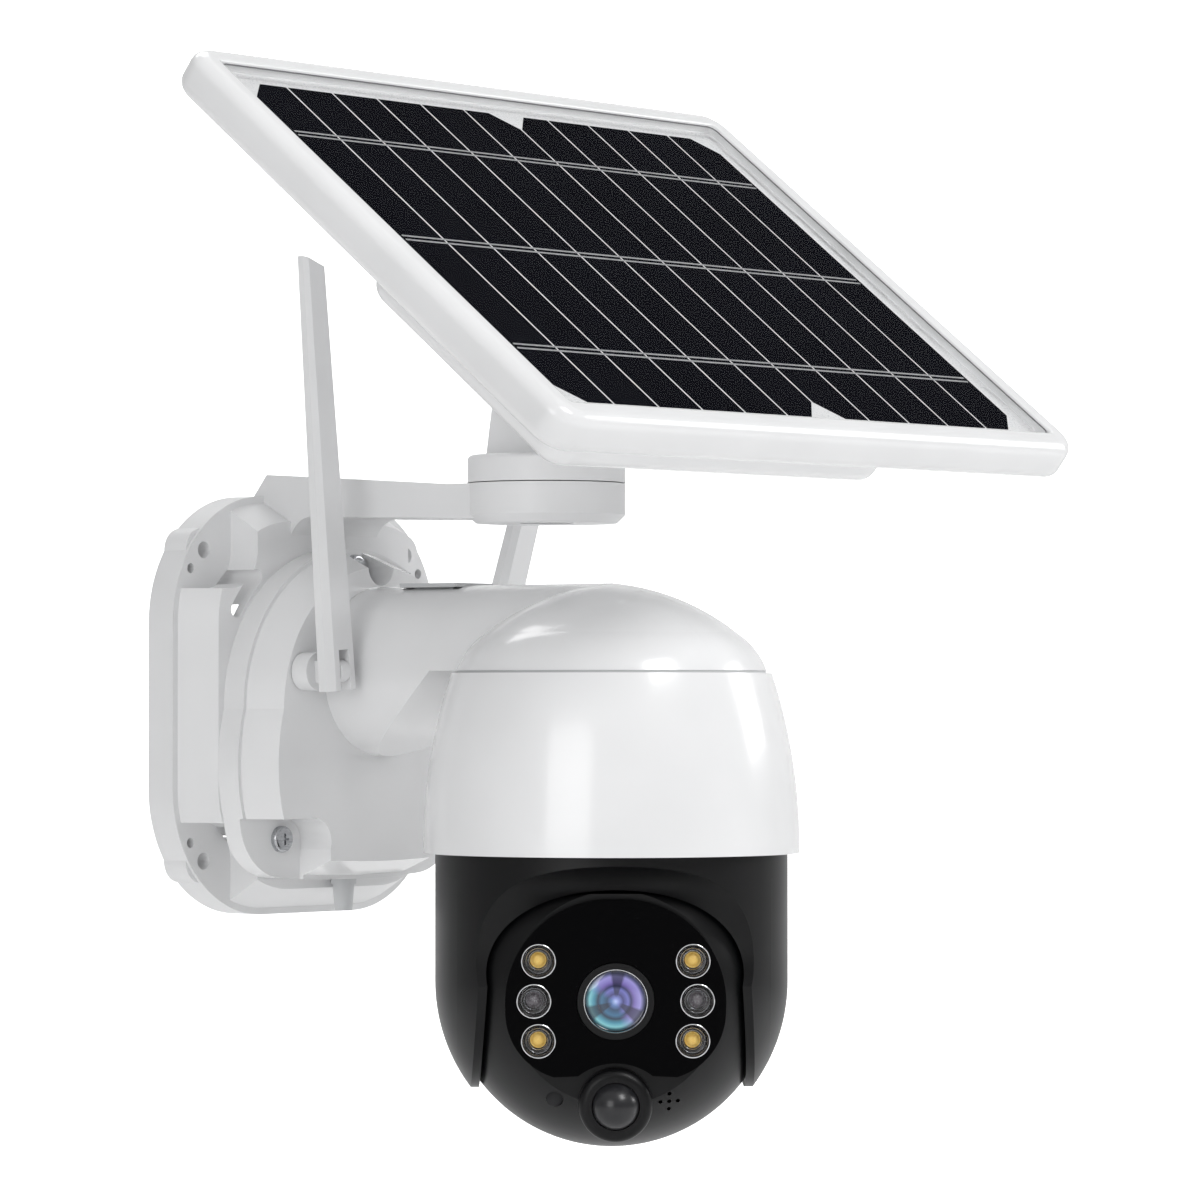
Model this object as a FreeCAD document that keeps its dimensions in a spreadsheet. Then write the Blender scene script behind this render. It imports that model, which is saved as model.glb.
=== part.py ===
import FreeCAD
import Part
import Sketcher
import math
import os
import re

# Solar powered pan and tilt security camera on a wall bracket.
# Millimetres, +Z up.  The origin is the middle of the wall plate's back face, and the camera
# stands out from the wall along -Y.

DOC = FreeCAD.newDocument("solar_security_camera")
V = FreeCAD.Vector

SIZES = [
    # wall plate and bracket arm
    ("plate_width", 116.0), ("plate_height", 125.0), ("plate_corner", 38.0), ("plate_step", 10.0),
    ("plate_depth", 21.0), ("field_inset", 2.0), ("field_slope", 28.0), ("shell_wall", 3.0),
    ("wall_screw_x", 45.0), ("wall_screw_z", 46.0), ("wall_screw_radius", 2.5), ("screw_pocket", 11.5),
    ("pilot_radius", 1.5), ("pilot_x", 50.5), ("pilot_z", 40.5), ("slot_radius", 51.0), ("slot_angle", 41.0),
    ("slot_half_width", 2.4), ("slot_length", 13.0), ("web_reach", 30.0), ("web_height", 47.0),
    ("arm_width", 38.0), ("arm_root_top", 69.0), ("arm_root_bottom", 57.0), ("boss_y", 104.6),
    ("boss_radius", 23.0), ("boss_top", 64.5), ("boss_bottom", 53.0), ("boss_bevel", 2.4), ("arm_gusset", 11.0),
    # swivel and tilt hinge of the panel
    ("puck_top", 72.8), ("swivel_gap", 0.3), ("bolt_radius", 4.0), ("bolt_hole", 4.06), ("hinge_height", 90.0),
    ("ear_gap", 16.6), ("ear_thick", 5.0), ("ear_radius", 9.0), ("pin_radius", 3.0), ("pin_hole", 3.06),
    ("lug_width", 16.0), ("lug_radius", 8.4), ("hinge_to_box", 18.5),
    # solar panel, in its own tilted frame
    ("panel_tilt", 38.0), ("panel_y", 142.3), ("panel_z", 129.7), ("frame_width", 237.0), ("frame_height", 177.0),
    ("frame_depth", 12.0), ("frame_rim", 0.8), ("frame_corner", 9.0), ("frame_floor", 2.5), ("frame_round", 4.0),
    ("glass_width", 221.0), ("glass_height", 161.0), ("glass_thick", 2.6), ("glass_gap", 0.2),
    ("cell_pitch", 19.0), ("cell_gap", 0.6), ("cell_height", 151.7), ("cell_thick", 0.3), ("cell_chamfer", 7.5),
    ("ribbon_width", 1.1), ("ribbon_thick", 0.1), ("sheet_thick", 1.0),
    ("box_width", 150.0), ("box_low", 61.0), ("box_high", 27.0), ("box_depth", 24.0), ("box_wall", 2.5),
    ("box_round", 7.0), ("battery_radius", 9.1), ("battery_length", 65.0), ("battery_pitch", 20.0),
    # camera base and arm
    ("base_front", 29.0), ("hub_front", 40.0), ("base_radius", 48.0), ("base_centre_z", -1.0),
    ("base_side", 50.2), ("base_side_z", -14.0), ("base_low_x", 47.8), ("base_low_z", -34.0),
    ("base_corner_x", 41.5), ("base_corner_z", -46.5), ("base_foot_x", 30.0), ("base_foot_z", -51.0),
    ("base_bottom", -52.0), ("hub_inset", 1.2), ("hub_slope", 22.0), ("base_screw_x", 30.6), ("base_screw_z", -39.5),
    ("base_screw_radius", 2.2), ("base_pocket", 8.5), ("top_screw_z", 41.3), ("tube_radius", 25.2),
    ("tube_z", 10.1), ("tube_wall", 2.6), ("lid_depth", 2.0), ("card_y", 66.0), ("card_width", 17.0),
    ("card_length", 22.0), ("card_thick", 1.2), ("gland_y", 25.0), ("gland_radius", 2.6), ("gland_length", 8.0),
    # dome
    ("dome_y", 129.1), ("seam_z", 10.1), ("cap_radius", 44.7), ("cap_shoulder", 36.2), ("cap_shoulder_z", 20.9),
    ("cap_top", 35.3), ("cap_wall", 2.5), ("shell_top", 46.2), ("shell_top_z", 9.4), ("shell_mid", 51.6),
    ("shell_mid_z", -12.0), ("shell_bottom", 54.1), ("shell_bottom_z", -42.2), ("gasket_thick", 0.7),
    ("motor_plate_z", -33.0), ("motor_plate_thick", 3.0), ("motor_plate_radius", 50.6), ("bearing_outer", 16.0),
    ("spindle_radius", 9.95), ("bearing_inner", 10.0),
    # head: pan yoke and tilting camera ball, in the head's own frame
    ("head_yaw", -48.7), ("head_pitch", 5.0), ("tilt_z", -79.0), ("yoke_radius", 50.7), ("yoke_top", 40.6),
    ("yoke_roof", 3.0), ("cavity_radius", 48.8), ("arm_inner", 38.6), ("cover_split", 44.5), ("arch_side", 33.0),
    ("arch_mid_y", 38.0), ("arch_mid_z", 24.5), ("arch_top", 35.0), ("arm_tip", 30.5), ("cover_top", 30.0),
    ("ball_radius", 47.5), ("ball_flat", 38.0), ("ball_wall", 2.4), ("ball_core", 35.0), ("ball_upper_angle", 39.0),
    ("ball_lower_angle", -149.0), ("face_y", 36.5), ("face_thick", 2.0), ("face_half_width", 31.0),
    ("face_top", 28.0), ("face_low", 19.5), ("lens_drop", 0.5), ("lens_hole", 11.0), ("barrel_radius", 10.8),
    ("ring_outer", 9.0), ("ring_inner", 7.3), ("led_x", 21.7), ("led_rise", 11.3), ("ir_x", 23.0),
    ("cup_radius", 4.9), ("nose_z", -30.0), ("nose_radius", 10.4), ("nose_front", 41.0), ("pir_radius", 6.8),
    ("mic_x", 17.0), ("mic_z", -29.0), ("mic_radius", 2.4), ("speaker_x", 15.3), ("speaker_z", -29.6),
    ("pivot_radius", 4.0), ("pivot_hole", 4.06),
    # gears
    ("pan_module", 0.8), ("pan_teeth", 60.0), ("pan_pinion_teeth", 12.0), ("tilt_module", 0.7),
    ("tilt_teeth", 36.0), ("tilt_pinion_teeth", 12.0), ("pan_centres", 28.8), ("tilt_centres", 16.8),
    # antennas
    ("antenna_x", 33.9), ("antenna_z", 10.0), ("knuckle_y", 50.5), ("left_lean", 5.3), ("right_lean", 20.0),
    ("blade_length", 119.5), ("blade_root_width", 12.4), ("blade_root_depth", 7.0), ("blade_tip_width", 9.0),
    ("blade_tip_depth", 4.4), ("collar_radius", 5.6), ("blade_below", 5.5),
]

SHEET = DOC.addObject("Spreadsheet::Sheet", "Sizes")
for row, (alias, number) in enumerate(SIZES, start=1):
    SHEET.set(f"A{row}", alias)
    SHEET.set(f"B{row}", str(number))
    SHEET.setAlias(f"B{row}", alias)
DOC.recompute()
ALIASES = {alias for alias, _ in SIZES}
PARTS = []


def cells(text):
    """Turn a formula of plain size names into one that reads the spreadsheet's cells."""
    return re.sub(r"[a-z][a-z0-9_]*", lambda m: "Sizes." + m[0] if m[0] in ALIASES else m[0], str(text))


def value(text):
    """The present value of a formula of size names."""
    found = SHEET.evalExpression(cells(text))
    return float(getattr(found, "Value", found))


AXES = {"x": V(1, 0, 0), "-x": V(-1, 0, 0), "y": V(0, 1, 0), "-y": V(0, -1, 0), "z": V(0, 0, 1), "-z": V(0, 0, -1)}


def place(obj, at, axis="z"):
    """Stand a primitive's own z along an axis at a point whose coordinates are formulas."""
    obj.Placement = FreeCAD.Placement(V(*(value(c) for c in at)), FreeCAD.Rotation(V(0, 0, 1), AXES[axis]))
    for letter, formula in zip("xyz", at):
        obj.setExpression(f".Placement.Base.{letter}", cells(formula))
    return obj


def primitive(kind, name, at, axis, **sizes):
    obj = DOC.addObject("Part::" + kind, name)
    for prop, formula in sizes.items():
        obj.setExpression(prop, cells(formula))
    return place(obj, at, axis)


def cylinder(name, radius, height, at=("0", "0", "0"), axis="z"):
    return primitive("Cylinder", name, at, axis, Radius=radius, Height=height)


def cone(name, radius1, radius2, height, at=("0", "0", "0"), axis="z"):
    return primitive("Cone", name, at, axis, Radius1=radius1, Radius2=radius2, Height=height)


def sphere(name, radius, at=("0", "0", "0")):
    return primitive("Sphere", name, at, "z", Radius=radius)


def box(name, length, width, height, middle=("0", "0", "0")):
    """A box centred on its middle point."""
    corner = [f"{m} - ({s}) / 2" for m, s in zip(middle, (length, width, height))]
    return primitive("Box", name, corner, "z", Length=length, Width=width, Height=height)


def prism(name, sides, across_flats, height, at=("0", "0", "0"), axis="z"):
    """A regular prism, such as a nut or a bolt's head."""
    obj = DOC.addObject("Part::Prism", name)
    obj.Polygon = sides
    obj.setExpression("Circumradius", cells(f"({across_flats}) / 2 / cos(180 / {sides})"))
    obj.setExpression("Height", cells(height))
    return place(obj, at, axis)


def fuse(name, *shapes):
    obj = DOC.addObject("Part::MultiFuse", name)
    obj.Shapes = list(shapes)
    obj.Refine = True
    return obj


def cut(name, base, *tools):
    obj = DOC.addObject("Part::Cut", name)
    obj.Base = base
    obj.Tool = tools[0] if len(tools) == 1 else fuse(name + "_tools", *tools)
    obj.Refine = True
    return obj


def common(name, *shapes):
    obj = DOC.addObject("Part::MultiCommon", name)
    obj.Shapes = list(shapes)
    return obj


def group(name, *shapes):
    obj = DOC.addObject("Part::Compound", name)
    obj.Links = list(shapes)
    return obj


def finish(obj, label, placement=None):
    """Keep an object as a sub-part under its own label, with its placement in the camera."""
    if placement is not None and obj.TypeId in ("Part::Cylinder", "Part::Box"):
        obj = group(label + "_placed", obj)
    obj.Label = label
    if placement is not None:
        obj.Placement = placement
    PARTS.append(obj)
    return obj


def round_edges(name, base, radius, choose):
    """Round the edges of a Part object whose middle points pass the test."""
    DOC.recompute()
    wanted = [i for i, e in enumerate(base.Shape.Edges, 1) if choose(e)]
    obj = DOC.addObject("Part::Fillet", name)
    obj.Base = base
    obj.Edges = [(i, value(radius), value(radius)) for i in wanted]
    return obj


# ---- PartDesign helpers ----

def new_body(label):
    obj = DOC.addObject("PartDesign::Body", label)
    obj.Label = label
    return obj


def sketch_on(body, plane, offset="0"):
    """A sketch on one of the body's origin planes, moved along the plane's normal."""
    sketch = body.newObject("Sketcher::SketchObject", body.Name + "_sketch")
    face = next(f for f in body.Origin.OriginFeatures if f.Role == plane)
    sketch.AttachmentSupport = [(face, "")]
    sketch.MapMode = "FlatFace"
    sketch.setExpression(".AttachmentOffset.Base.z", cells(offset))
    return sketch


def pin_point(sketch, geo, pos, x, y):
    """Bind one point of a sketch to a pair of formulas."""
    for kind, formula in (("DistanceX", x), ("DistanceY", y)):
        index = sketch.addConstraint(Sketcher.Constraint(kind, geo, pos, value(formula)))
        sketch.setExpression(f"Constraints[{index}]", cells(formula))


def outline(sketch, start, *steps):
    """A closed outline: each step is an end point, or a mid point and an end point for an arc."""
    here = start
    joints = []
    for step in steps:
        points = [V(value(x), value(y), 0) for x, y in (here, *step)]
        if len(points) == 3 and (points[1] - points[0]).cross(points[2] - points[1]).z < 0:
            points.reverse()
        edge = Part.LineSegment(*points) if len(points) == 2 else Part.Arc(*points)
        geo = sketch.addGeometry(edge, False)
        forward = (sketch.Geometry[geo].StartPoint - V(value(here[0]), value(here[1]), 0)).Length < 1e-6
        joints.append((geo, 1 if forward else 2, 2 if forward else 1, here))
        here = step[-1]
    for (geo, first, _, point), (before, _, last, _) in zip(joints, joints[-1:] + joints[:-1]):
        sketch.addConstraint(Sketcher.Constraint("Coincident", before, last, geo, first))
        pin_point(sketch, geo, first, *point)
    return sketch


def rectangle(sketch, width, height, corner="0", middle=("0", "0")):
    """A rectangle about a middle point, with rounded corners where a corner radius is given."""
    def at(sx, sy, in_x, in_y):
        return (f"{middle[0]} + {sx} * (({width}) / 2 - ({in_x}))", f"{middle[1]} + {sy} * (({height}) / 2 - ({in_y}))")
    if corner == "0":
        ends = [at(sx, sy, "0", "0") for sx, sy in ((-1, -1), (1, -1), (1, 1), (-1, 1))]
        return outline(sketch, ends[0], *[(e,) for e in ends[1:] + ends[:1]])
    bend = f"{corner} * (1 - sqrt(0.5))"
    start = at(-1, -1, corner, "0")
    return outline(
        sketch, start,
        (at(1, -1, corner, "0"),), (at(1, -1, bend, bend), at(1, -1, "0", corner)),
        (at(1, 1, "0", corner),), (at(1, 1, bend, bend), at(1, 1, corner, "0")),
        (at(-1, 1, corner, "0"),), (at(-1, 1, bend, bend), at(-1, 1, "0", corner)),
        (at(-1, -1, "0", corner),), (at(-1, -1, bend, bend), start))


def circle(sketch, radius, x="0", y="0"):
    geo = sketch.addGeometry(Part.Circle(V(value(x), value(y), 0), V(0, 0, 1), value(radius)), False)
    index = sketch.addConstraint(Sketcher.Constraint("Radius", geo, value(radius)))
    sketch.setExpression(f"Constraints[{index}]", cells(radius))
    pin_point(sketch, geo, 3, x, y)
    return sketch


def feature(body, kind, sketch, length=None, **settings):
    """A sketch-based feature of a body; length is a formula."""
    obj = body.newObject("PartDesign::" + kind, body.Name + "_" + kind.lower())
    obj.Profile = sketch
    for prop, setting in settings.items():
        setattr(obj, prop, setting)
    if length is not None:
        obj.setExpression("Length", cells(length))
    body.Tip = obj
    DOC.recompute()
    require(obj)
    return obj


def remove(body, sketch, length, **settings):
    """A pocket that must take material away."""
    before = body.Shape.Volume
    obj = feature(body, "Pocket", sketch, length, **settings)
    if body.Shape.Volume > before - 0.01:
        raise RuntimeError(body.Label + ": a pocket cuts nothing")
    return obj


def require(obj):
    """Stop at a feature that failed."""
    if "Invalid" in obj.State or obj.Shape.isNull():
        raise RuntimeError(f"{obj.Label}: {obj.getStatusString()}")


def drafted(body, near, far):
    """A solid with straight drafted sides between two outlines of the same kind."""
    obj = body.newObject("PartDesign::AdditiveLoft", body.Name + "_loft")
    obj.Profile = near
    obj.Sections = [far]
    obj.Ruled = True
    body.Tip = obj
    DOC.recompute()
    require(obj)
    return obj


def spin(body, sketch, kind="Revolution"):
    """Turn a sketch on the XZ plane about the body's own z axis."""
    obj = body.newObject("PartDesign::" + kind, body.Name + "_turned")
    obj.Profile = sketch
    obj.ReferenceAxis = (sketch, ["V_Axis"])
    obj.Angle = 360
    body.Tip = obj
    DOC.recompute()
    require(obj)
    return obj


def dress(body, radius, choose, kind="Fillet"):
    """Round or chamfer the edges that pass the test."""
    base = body.Tip
    names = [f"Edge{i}" for i, e in enumerate(base.Shape.Edges, 1) if choose(e)]
    obj = body.newObject("PartDesign::" + kind, body.Name + "_" + kind.lower())
    obj.Base = (base, names)
    obj.setExpression("Radius" if kind == "Fillet" else "Size", cells(radius))
    body.Tip = obj
    DOC.recompute()
    require(obj)
    return obj


def on_plane(axis, level, reach=0.01):
    """A test for edges that lie wholly in the plane where one coordinate has a value."""
    def test(edge):
        low, high = (getattr(edge.BoundBox, axis + end) for end in ("Min", "Max"))
        return abs(low - level) < reach and abs(high - level) < reach
    return test


# ---- frames of the moving groups ----

# how far up the panel's slope, in the panel's own frame, the tilt hinge stands
HINGE_Y = "((panel_y - boss_y) * cos(panel_tilt) - (panel_z - hinge_height) * sin(panel_tilt))"

PANEL = FreeCAD.Placement(V(0, -value("panel_y"), value("panel_z")), FreeCAD.Rotation(V(1, 0, 0), value("panel_tilt")))
HEAD = FreeCAD.Placement(V(0, -value("dome_y"), value("tilt_z")), FreeCAD.Rotation(V(0, 0, 1), value("head_yaw")))
BALL = HEAD.multiply(FreeCAD.Placement(V(), FreeCAD.Rotation(V(1, 0, 0), value("head_pitch"))))
DOME = FreeCAD.Placement(V(0, -value("dome_y"), 0), FreeCAD.Rotation())
SWIVEL = FreeCAD.Placement(V(0, -value("boss_y"), 0), FreeCAD.Rotation())


# ---- wall bracket ----

def corner_pocket(sketch, sx, sz):
    """A pocket from one screw hole out past the plate's corner, its inner corner round."""
    x, z = f"{sx} * wall_screw_x", f"{sz} * wall_screw_z"
    far_x, far_z = f"{sx} * plate_width", f"{sz} * plate_height"
    near_x, near_z = f"{sx} * (wall_screw_x - screw_pocket)", f"{sz} * (wall_screw_z - screw_pocket)"
    bend_x = f"{sx} * (wall_screw_x - screw_pocket * sqrt(0.5))"
    bend_z = f"{sz} * (wall_screw_z - screw_pocket * sqrt(0.5))"
    outline(sketch, (near_x, z), ((bend_x, bend_z), (x, near_z)), ((far_x, near_z),), ((far_x, far_z),),
            ((near_x, far_z),), ((near_x, z),))


def arc_slot(sketch, sx, sz):
    """A slot that follows a circle about the plate's middle."""
    mid = math.atan2(sz, sx)
    lean = sx * sz * math.radians(45 - value("slot_angle"))
    half = value("slot_length") / 2 / value("slot_radius")
    r_in, r_out = (value("slot_radius") + s * value("slot_half_width") for s in (-1, 1))

    def at(radius, turn):
        angle = mid - lean + turn
        return (str(round(radius * math.cos(angle), 4)), str(round(radius * math.sin(angle), 4)))
    middle = (r_in + r_out) / 2
    cap = half + value("slot_half_width") / middle
    outline(sketch, at(r_in, -half), (at(r_in, 0), at(r_in, half)), (at(middle, cap), at(r_out, half)),
            (at(r_out, 0), at(r_out, -half)), (at(middle, -cap), at(r_in, -half)))


def wall_bracket():
    body = new_body("wall_bracket")
    plate = rectangle(sketch_on(body, "XZ_Plane"), "plate_width", "plate_height", "plate_corner")
    feature(body, "Pad", plate, "plate_step")
    slope = "(plate_depth - plate_step) * tan(field_slope)"
    field = [rectangle(sketch_on(body, "XZ_Plane", level), f"plate_width - 2 * ({inset})",
                       f"plate_height - 2 * ({inset})", f"(plate_corner - ({inset}))")
             for level, inset in (("plate_step", "field_inset"), ("plate_depth", "field_inset + " + slope))]
    drafted(body, *field)
    corners = [(sx, sz) for sx in (-1, 1) for sz in (-1, 1)]
    pockets = sketch_on(body, "XZ_Plane", "plate_depth")
    for sx, sz in corners:
        corner_pocket(pockets, sx, sz)
    remove(body, pockets, "plate_depth - plate_step")
    arm = sketch_on(body, "YZ_Plane")
    outline(arm, ("-4", "arm_root_bottom - 9"), (("-4", "plate_height / 2 - 2"),), (("-11", "arm_root_top"),),
            (("-boss_y + boss_radius + 1", "boss_top"),), (("-boss_y", "boss_top"),), (("-boss_y", "boss_bottom + 1"),),
            (("-plate_depth - arm_gusset", "arm_root_bottom - 1"),),
            (("-plate_depth - 2.5", "arm_root_bottom - 3"), ("-plate_depth + 1", "arm_root_bottom - 9")),
            (("-4", "arm_root_bottom - 9"),))
    feature(body, "Pad", arm, "arm_width", SideType="Symmetric")
    boss = circle(sketch_on(body, "XY_Plane", "boss_bottom + boss_bevel"), "boss_radius", "0", "-boss_y")
    feature(body, "Pad", boss, "boss_top - boss_bottom - boss_bevel")
    bevel = [circle(sketch_on(body, "XY_Plane", level), radius, "0", "-boss_y")
             for level, radius in (("boss_bottom + boss_bevel", "boss_radius"), ("boss_bottom", "boss_radius - boss_bevel"))]
    drafted(body, *bevel)
    # hollow back: a shallow tray under the whole plate and a deeper cross under the raised field
    tray = rectangle(sketch_on(body, "XZ_Plane"), "plate_width - 2 * shell_wall", "plate_height - 2 * shell_wall",
                     "plate_corner - shell_wall")
    remove(body, tray, "plate_step - shell_wall", Reversed=True)
    for width, height in (("2 * web_reach", "2 * web_height - 8"), ("2 * web_height - 6", "2 * web_reach")):
        deep = rectangle(sketch_on(body, "XZ_Plane"), width, height, "6")
        remove(body, deep, "plate_depth - shell_wall", Reversed=True)
    pillars = sketch_on(body, "XZ_Plane")
    for sx, sz in corners:
        circle(pillars, "6.5", f"{sx} * wall_screw_x", f"{sz} * wall_screw_z")
    feature(body, "Pad", pillars, "plate_step - 1")
    for sx, sz in corners:
        holes = sketch_on(body, "XZ_Plane", "plate_depth")
        circle(holes, "wall_screw_radius", f"{sx} * wall_screw_x", f"{sz} * wall_screw_z")
        circle(holes, "pilot_radius", f"{sx} * pilot_x", f"{sz} * pilot_z")
        remove(body, holes, "plate_depth")
        slot = sketch_on(body, "XZ_Plane", "plate_depth")
        arc_slot(slot, sx, sz)
        remove(body, slot, "plate_depth")
    bolt = circle(sketch_on(body, "XY_Plane", "boss_top"), "bolt_hole", "0", "-boss_y")
    remove(body, bolt, "boss_top - boss_bottom")
    recess = circle(sketch_on(body, "XY_Plane", "boss_bottom + 5.8"), "8", "0", "-boss_y")
    remove(body, recess, "5.8")
    for x, z in (("-base_screw_x", "base_screw_z"), ("base_screw_x", "base_screw_z"), ("0", "top_screw_z")):
        pilot = circle(sketch_on(body, "XZ_Plane", "plate_depth"), "1.25", x, z)
        remove(body, pilot, "plate_depth")
    finish(body, "wall_bracket")


# ---- panel swivel ----

def panel_swivel():
    """The disc that turns on the boss, with the two ears of the tilt hinge."""
    body = new_body("panel_swivel")
    disc = circle(sketch_on(body, "XY_Plane", "boss_top + swivel_gap"), "boss_radius")
    feature(body, "Pad", disc, "puck_top - boss_top - swivel_gap")
    dress(body, "1.5", on_plane("Z", value("puck_top")))
    for side in (-1, 1):
        ear = sketch_on(body, "YZ_Plane", f"{side} * (ear_gap + ear_thick) / 2")
        outline(ear, ("-ear_radius", "hinge_height"), (("-ear_radius - 3", "puck_top - 2"),),
                (("ear_radius + 3", "puck_top - 2"),), (("ear_radius", "hinge_height"),),
                (("0", "hinge_height + ear_radius"), ("-ear_radius", "hinge_height")))
        feature(body, "Pad", ear, "ear_thick", SideType="Symmetric")
    pin = circle(sketch_on(body, "YZ_Plane"), "pin_hole", "0", "hinge_height")
    remove(body, pin, "2 * ear_gap", SideType="Symmetric")
    bolt = circle(sketch_on(body, "XY_Plane", "puck_top"), "bolt_hole")
    remove(body, bolt, "puck_top - boss_top")
    finish(body, "panel_swivel", SWIVEL)


def swivel_fastenings():
    head = prism("swivel_head", 6, "13", "5", ("0", "0", "boss_bottom + 0.6"))
    shank = cylinder("swivel_shank", "bolt_radius", "20.5", ("0", "0", "boss_bottom + 5.6"))
    finish(fuse("swivel_bolt", head, shank), "swivel_bolt", SWIVEL)
    nut = prism("nut_body", 6, "12.4", "4.2", ("0", "0", "puck_top + 0.1"))
    bore = cylinder("nut_bore", "bolt_radius", "8", ("0", "0", "puck_top - 1"))
    finish(cut("swivel_nut", nut, bore), "swivel_nut", SWIVEL)
    reach = "(ear_gap / 2 + ear_thick)"
    at_head = (f"-{reach} - 4.2", "0", "hinge_height")
    head = prism("tilt_head", 6, "10", "4", at_head, "x")
    shank = cylinder("tilt_shank", "pin_radius", f"2 * {reach} + 7.4", (f"-{reach} - 0.3", "0", "hinge_height"), "x")
    finish(fuse("tilt_bolt", head, shank), "tilt_bolt", SWIVEL)
    nut = prism("tilt_nut_body", 6, "10", "5", (f"{reach} + 0.2", "0", "hinge_height"), "x")
    bore = cylinder("tilt_nut_bore", "pin_radius", "9", (f"{reach} - 1", "0", "hinge_height"), "x")
    finish(cut("tilt_nut", nut, bore), "tilt_nut", SWIVEL)


# ---- solar panel ----

def solar_frame():
    body = new_body("solar_frame")
    rim = rectangle(sketch_on(body, "XY_Plane", "-frame_depth"), "frame_width", "frame_height", "frame_corner")
    feature(body, "Pad", rim, "frame_depth + frame_rim")
    ends = (value("frame_rim"), -value("frame_depth"))
    dress(body, "frame_round", lambda e: any(on_plane("Z", level)(e) for level in ends))
    tray = rectangle(sketch_on(body, "XY_Plane", "frame_rim"), "glass_width + 2 * glass_gap",
                     "glass_height + 2 * glass_gap", "3")
    remove(body, tray, "frame_rim + glass_thick + cell_thick + ribbon_thick + sheet_thick")
    void = rectangle(sketch_on(body, "XY_Plane", "frame_rim"), "glass_width - 8", "glass_height - 8", "3")
    remove(body, void, "frame_rim + frame_depth - frame_floor")
    finish(body, "solar_frame", PANEL)


def solar_laminate():
    glass = new_body("solar_glass")
    pane = rectangle(sketch_on(glass, "XY_Plane", "-glass_thick"), "glass_width", "glass_height", "2.5")
    feature(glass, "Pad", pane, "glass_thick")
    finish(glass, "solar_glass", PANEL)
    back = new_body("solar_backsheet")
    pane = rectangle(sketch_on(back, "XY_Plane", "-glass_thick - cell_thick - ribbon_thick - sheet_thick"),
                     "glass_width - 1", "glass_height - 1", "2.5")
    feature(back, "Pad", pane, "sheet_thick")
    finish(back, "solar_backsheet", PANEL)


CELL_STRIPS = 11
LEFT_STRIPS = 6
RIBBON_LINES = (1 / 6, 1 / 2, 5 / 6)


def solar_cells():
    """Eleven upright strips of silicon in two groups, the outer corners of each group chamfered."""
    pitch, gap, chamfer = value("cell_pitch"), value("cell_gap"), value("cell_chamfer")
    half, floor = value("cell_height") / 2, -value("glass_thick") - value("cell_thick")
    strips = []
    for number in range(CELL_STRIPS):
        left = (number - CELL_STRIPS / 2) * pitch + gap / 2
        right = left + pitch - gap
        cut_left = chamfer if number in (0, LEFT_STRIPS) else 0
        cut_right = chamfer if number in (LEFT_STRIPS - 1, CELL_STRIPS - 1) else 0
        corners = []
        for x, y, dx, dy in ((left, -half, cut_left, cut_left), (right, -half, -cut_right, cut_right),
                             (right, half, -cut_right, -cut_right), (left, half, cut_left, -cut_left)):
            across, along = V(x + dx, y, floor), V(x, y + dy, floor)
            pair = (along, across) if dx * dy > 0 else (across, along)
            corners += pair if dx else (V(x, y, floor),)
        face = Part.Face(Part.makePolygon(corners + corners[:1]))
        strips.append(face.extrude(V(0, 0, value("cell_thick"))))
    cells_part = DOC.addObject("Part::Feature", "solar_cells")
    cells_part.Shape = Part.makeCompound(strips)
    finish(cells_part, "solar_cells", PANEL)


def cell_ribbons():
    """Three double lines of solder ribbon that join the strips."""
    floor = "-glass_thick - cell_thick - ribbon_thick"
    ribbons = []
    for line, share in enumerate(RIBBON_LINES):
        for side in (-1, 1):
            across = f"cell_height * ({share:.5f} - 0.5) + {side} * 0.95"
            name = f"ribbon_{line}_{'low' if side < 0 else 'high'}"
            ribbons.append(box(name, "cell_pitch * 11 - 4", "ribbon_width", "ribbon_thick",
                               ("0", across, floor + " + ribbon_thick / 2")))
    finish(group("cell_ribbons", *ribbons), "cell_ribbons", PANEL)


def battery_box():
    """The battery housing under the frame, open towards the frame's floor."""
    body = new_body("battery_box")
    centre = ("0", "(box_high - box_low) / 2")
    height = "(box_low + box_high)"
    outer = rectangle(sketch_on(body, "XY_Plane", "-frame_depth - box_depth"), "box_width", height, "box_round", centre)
    feature(body, "Pad", outer, "box_depth")
    dress(body, "5", on_plane("Z", -value("frame_depth + box_depth")))
    inner = rectangle(sketch_on(body, "XY_Plane", "-frame_depth"), "box_width - 2 * box_wall",
                      height + " - 2 * box_wall", "box_round - box_wall", centre)
    remove(body, inner, "box_depth - box_wall")
    screws = sketch_on(body, "XY_Plane", "-frame_depth - box_depth + box_wall")
    for sx in (-1, 1):
        circle(screws, "1.7", f"{sx} * 17", HINGE_Y)
    remove(body, screws, "box_wall")
    finish(body, "battery_box", PANEL)


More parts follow.
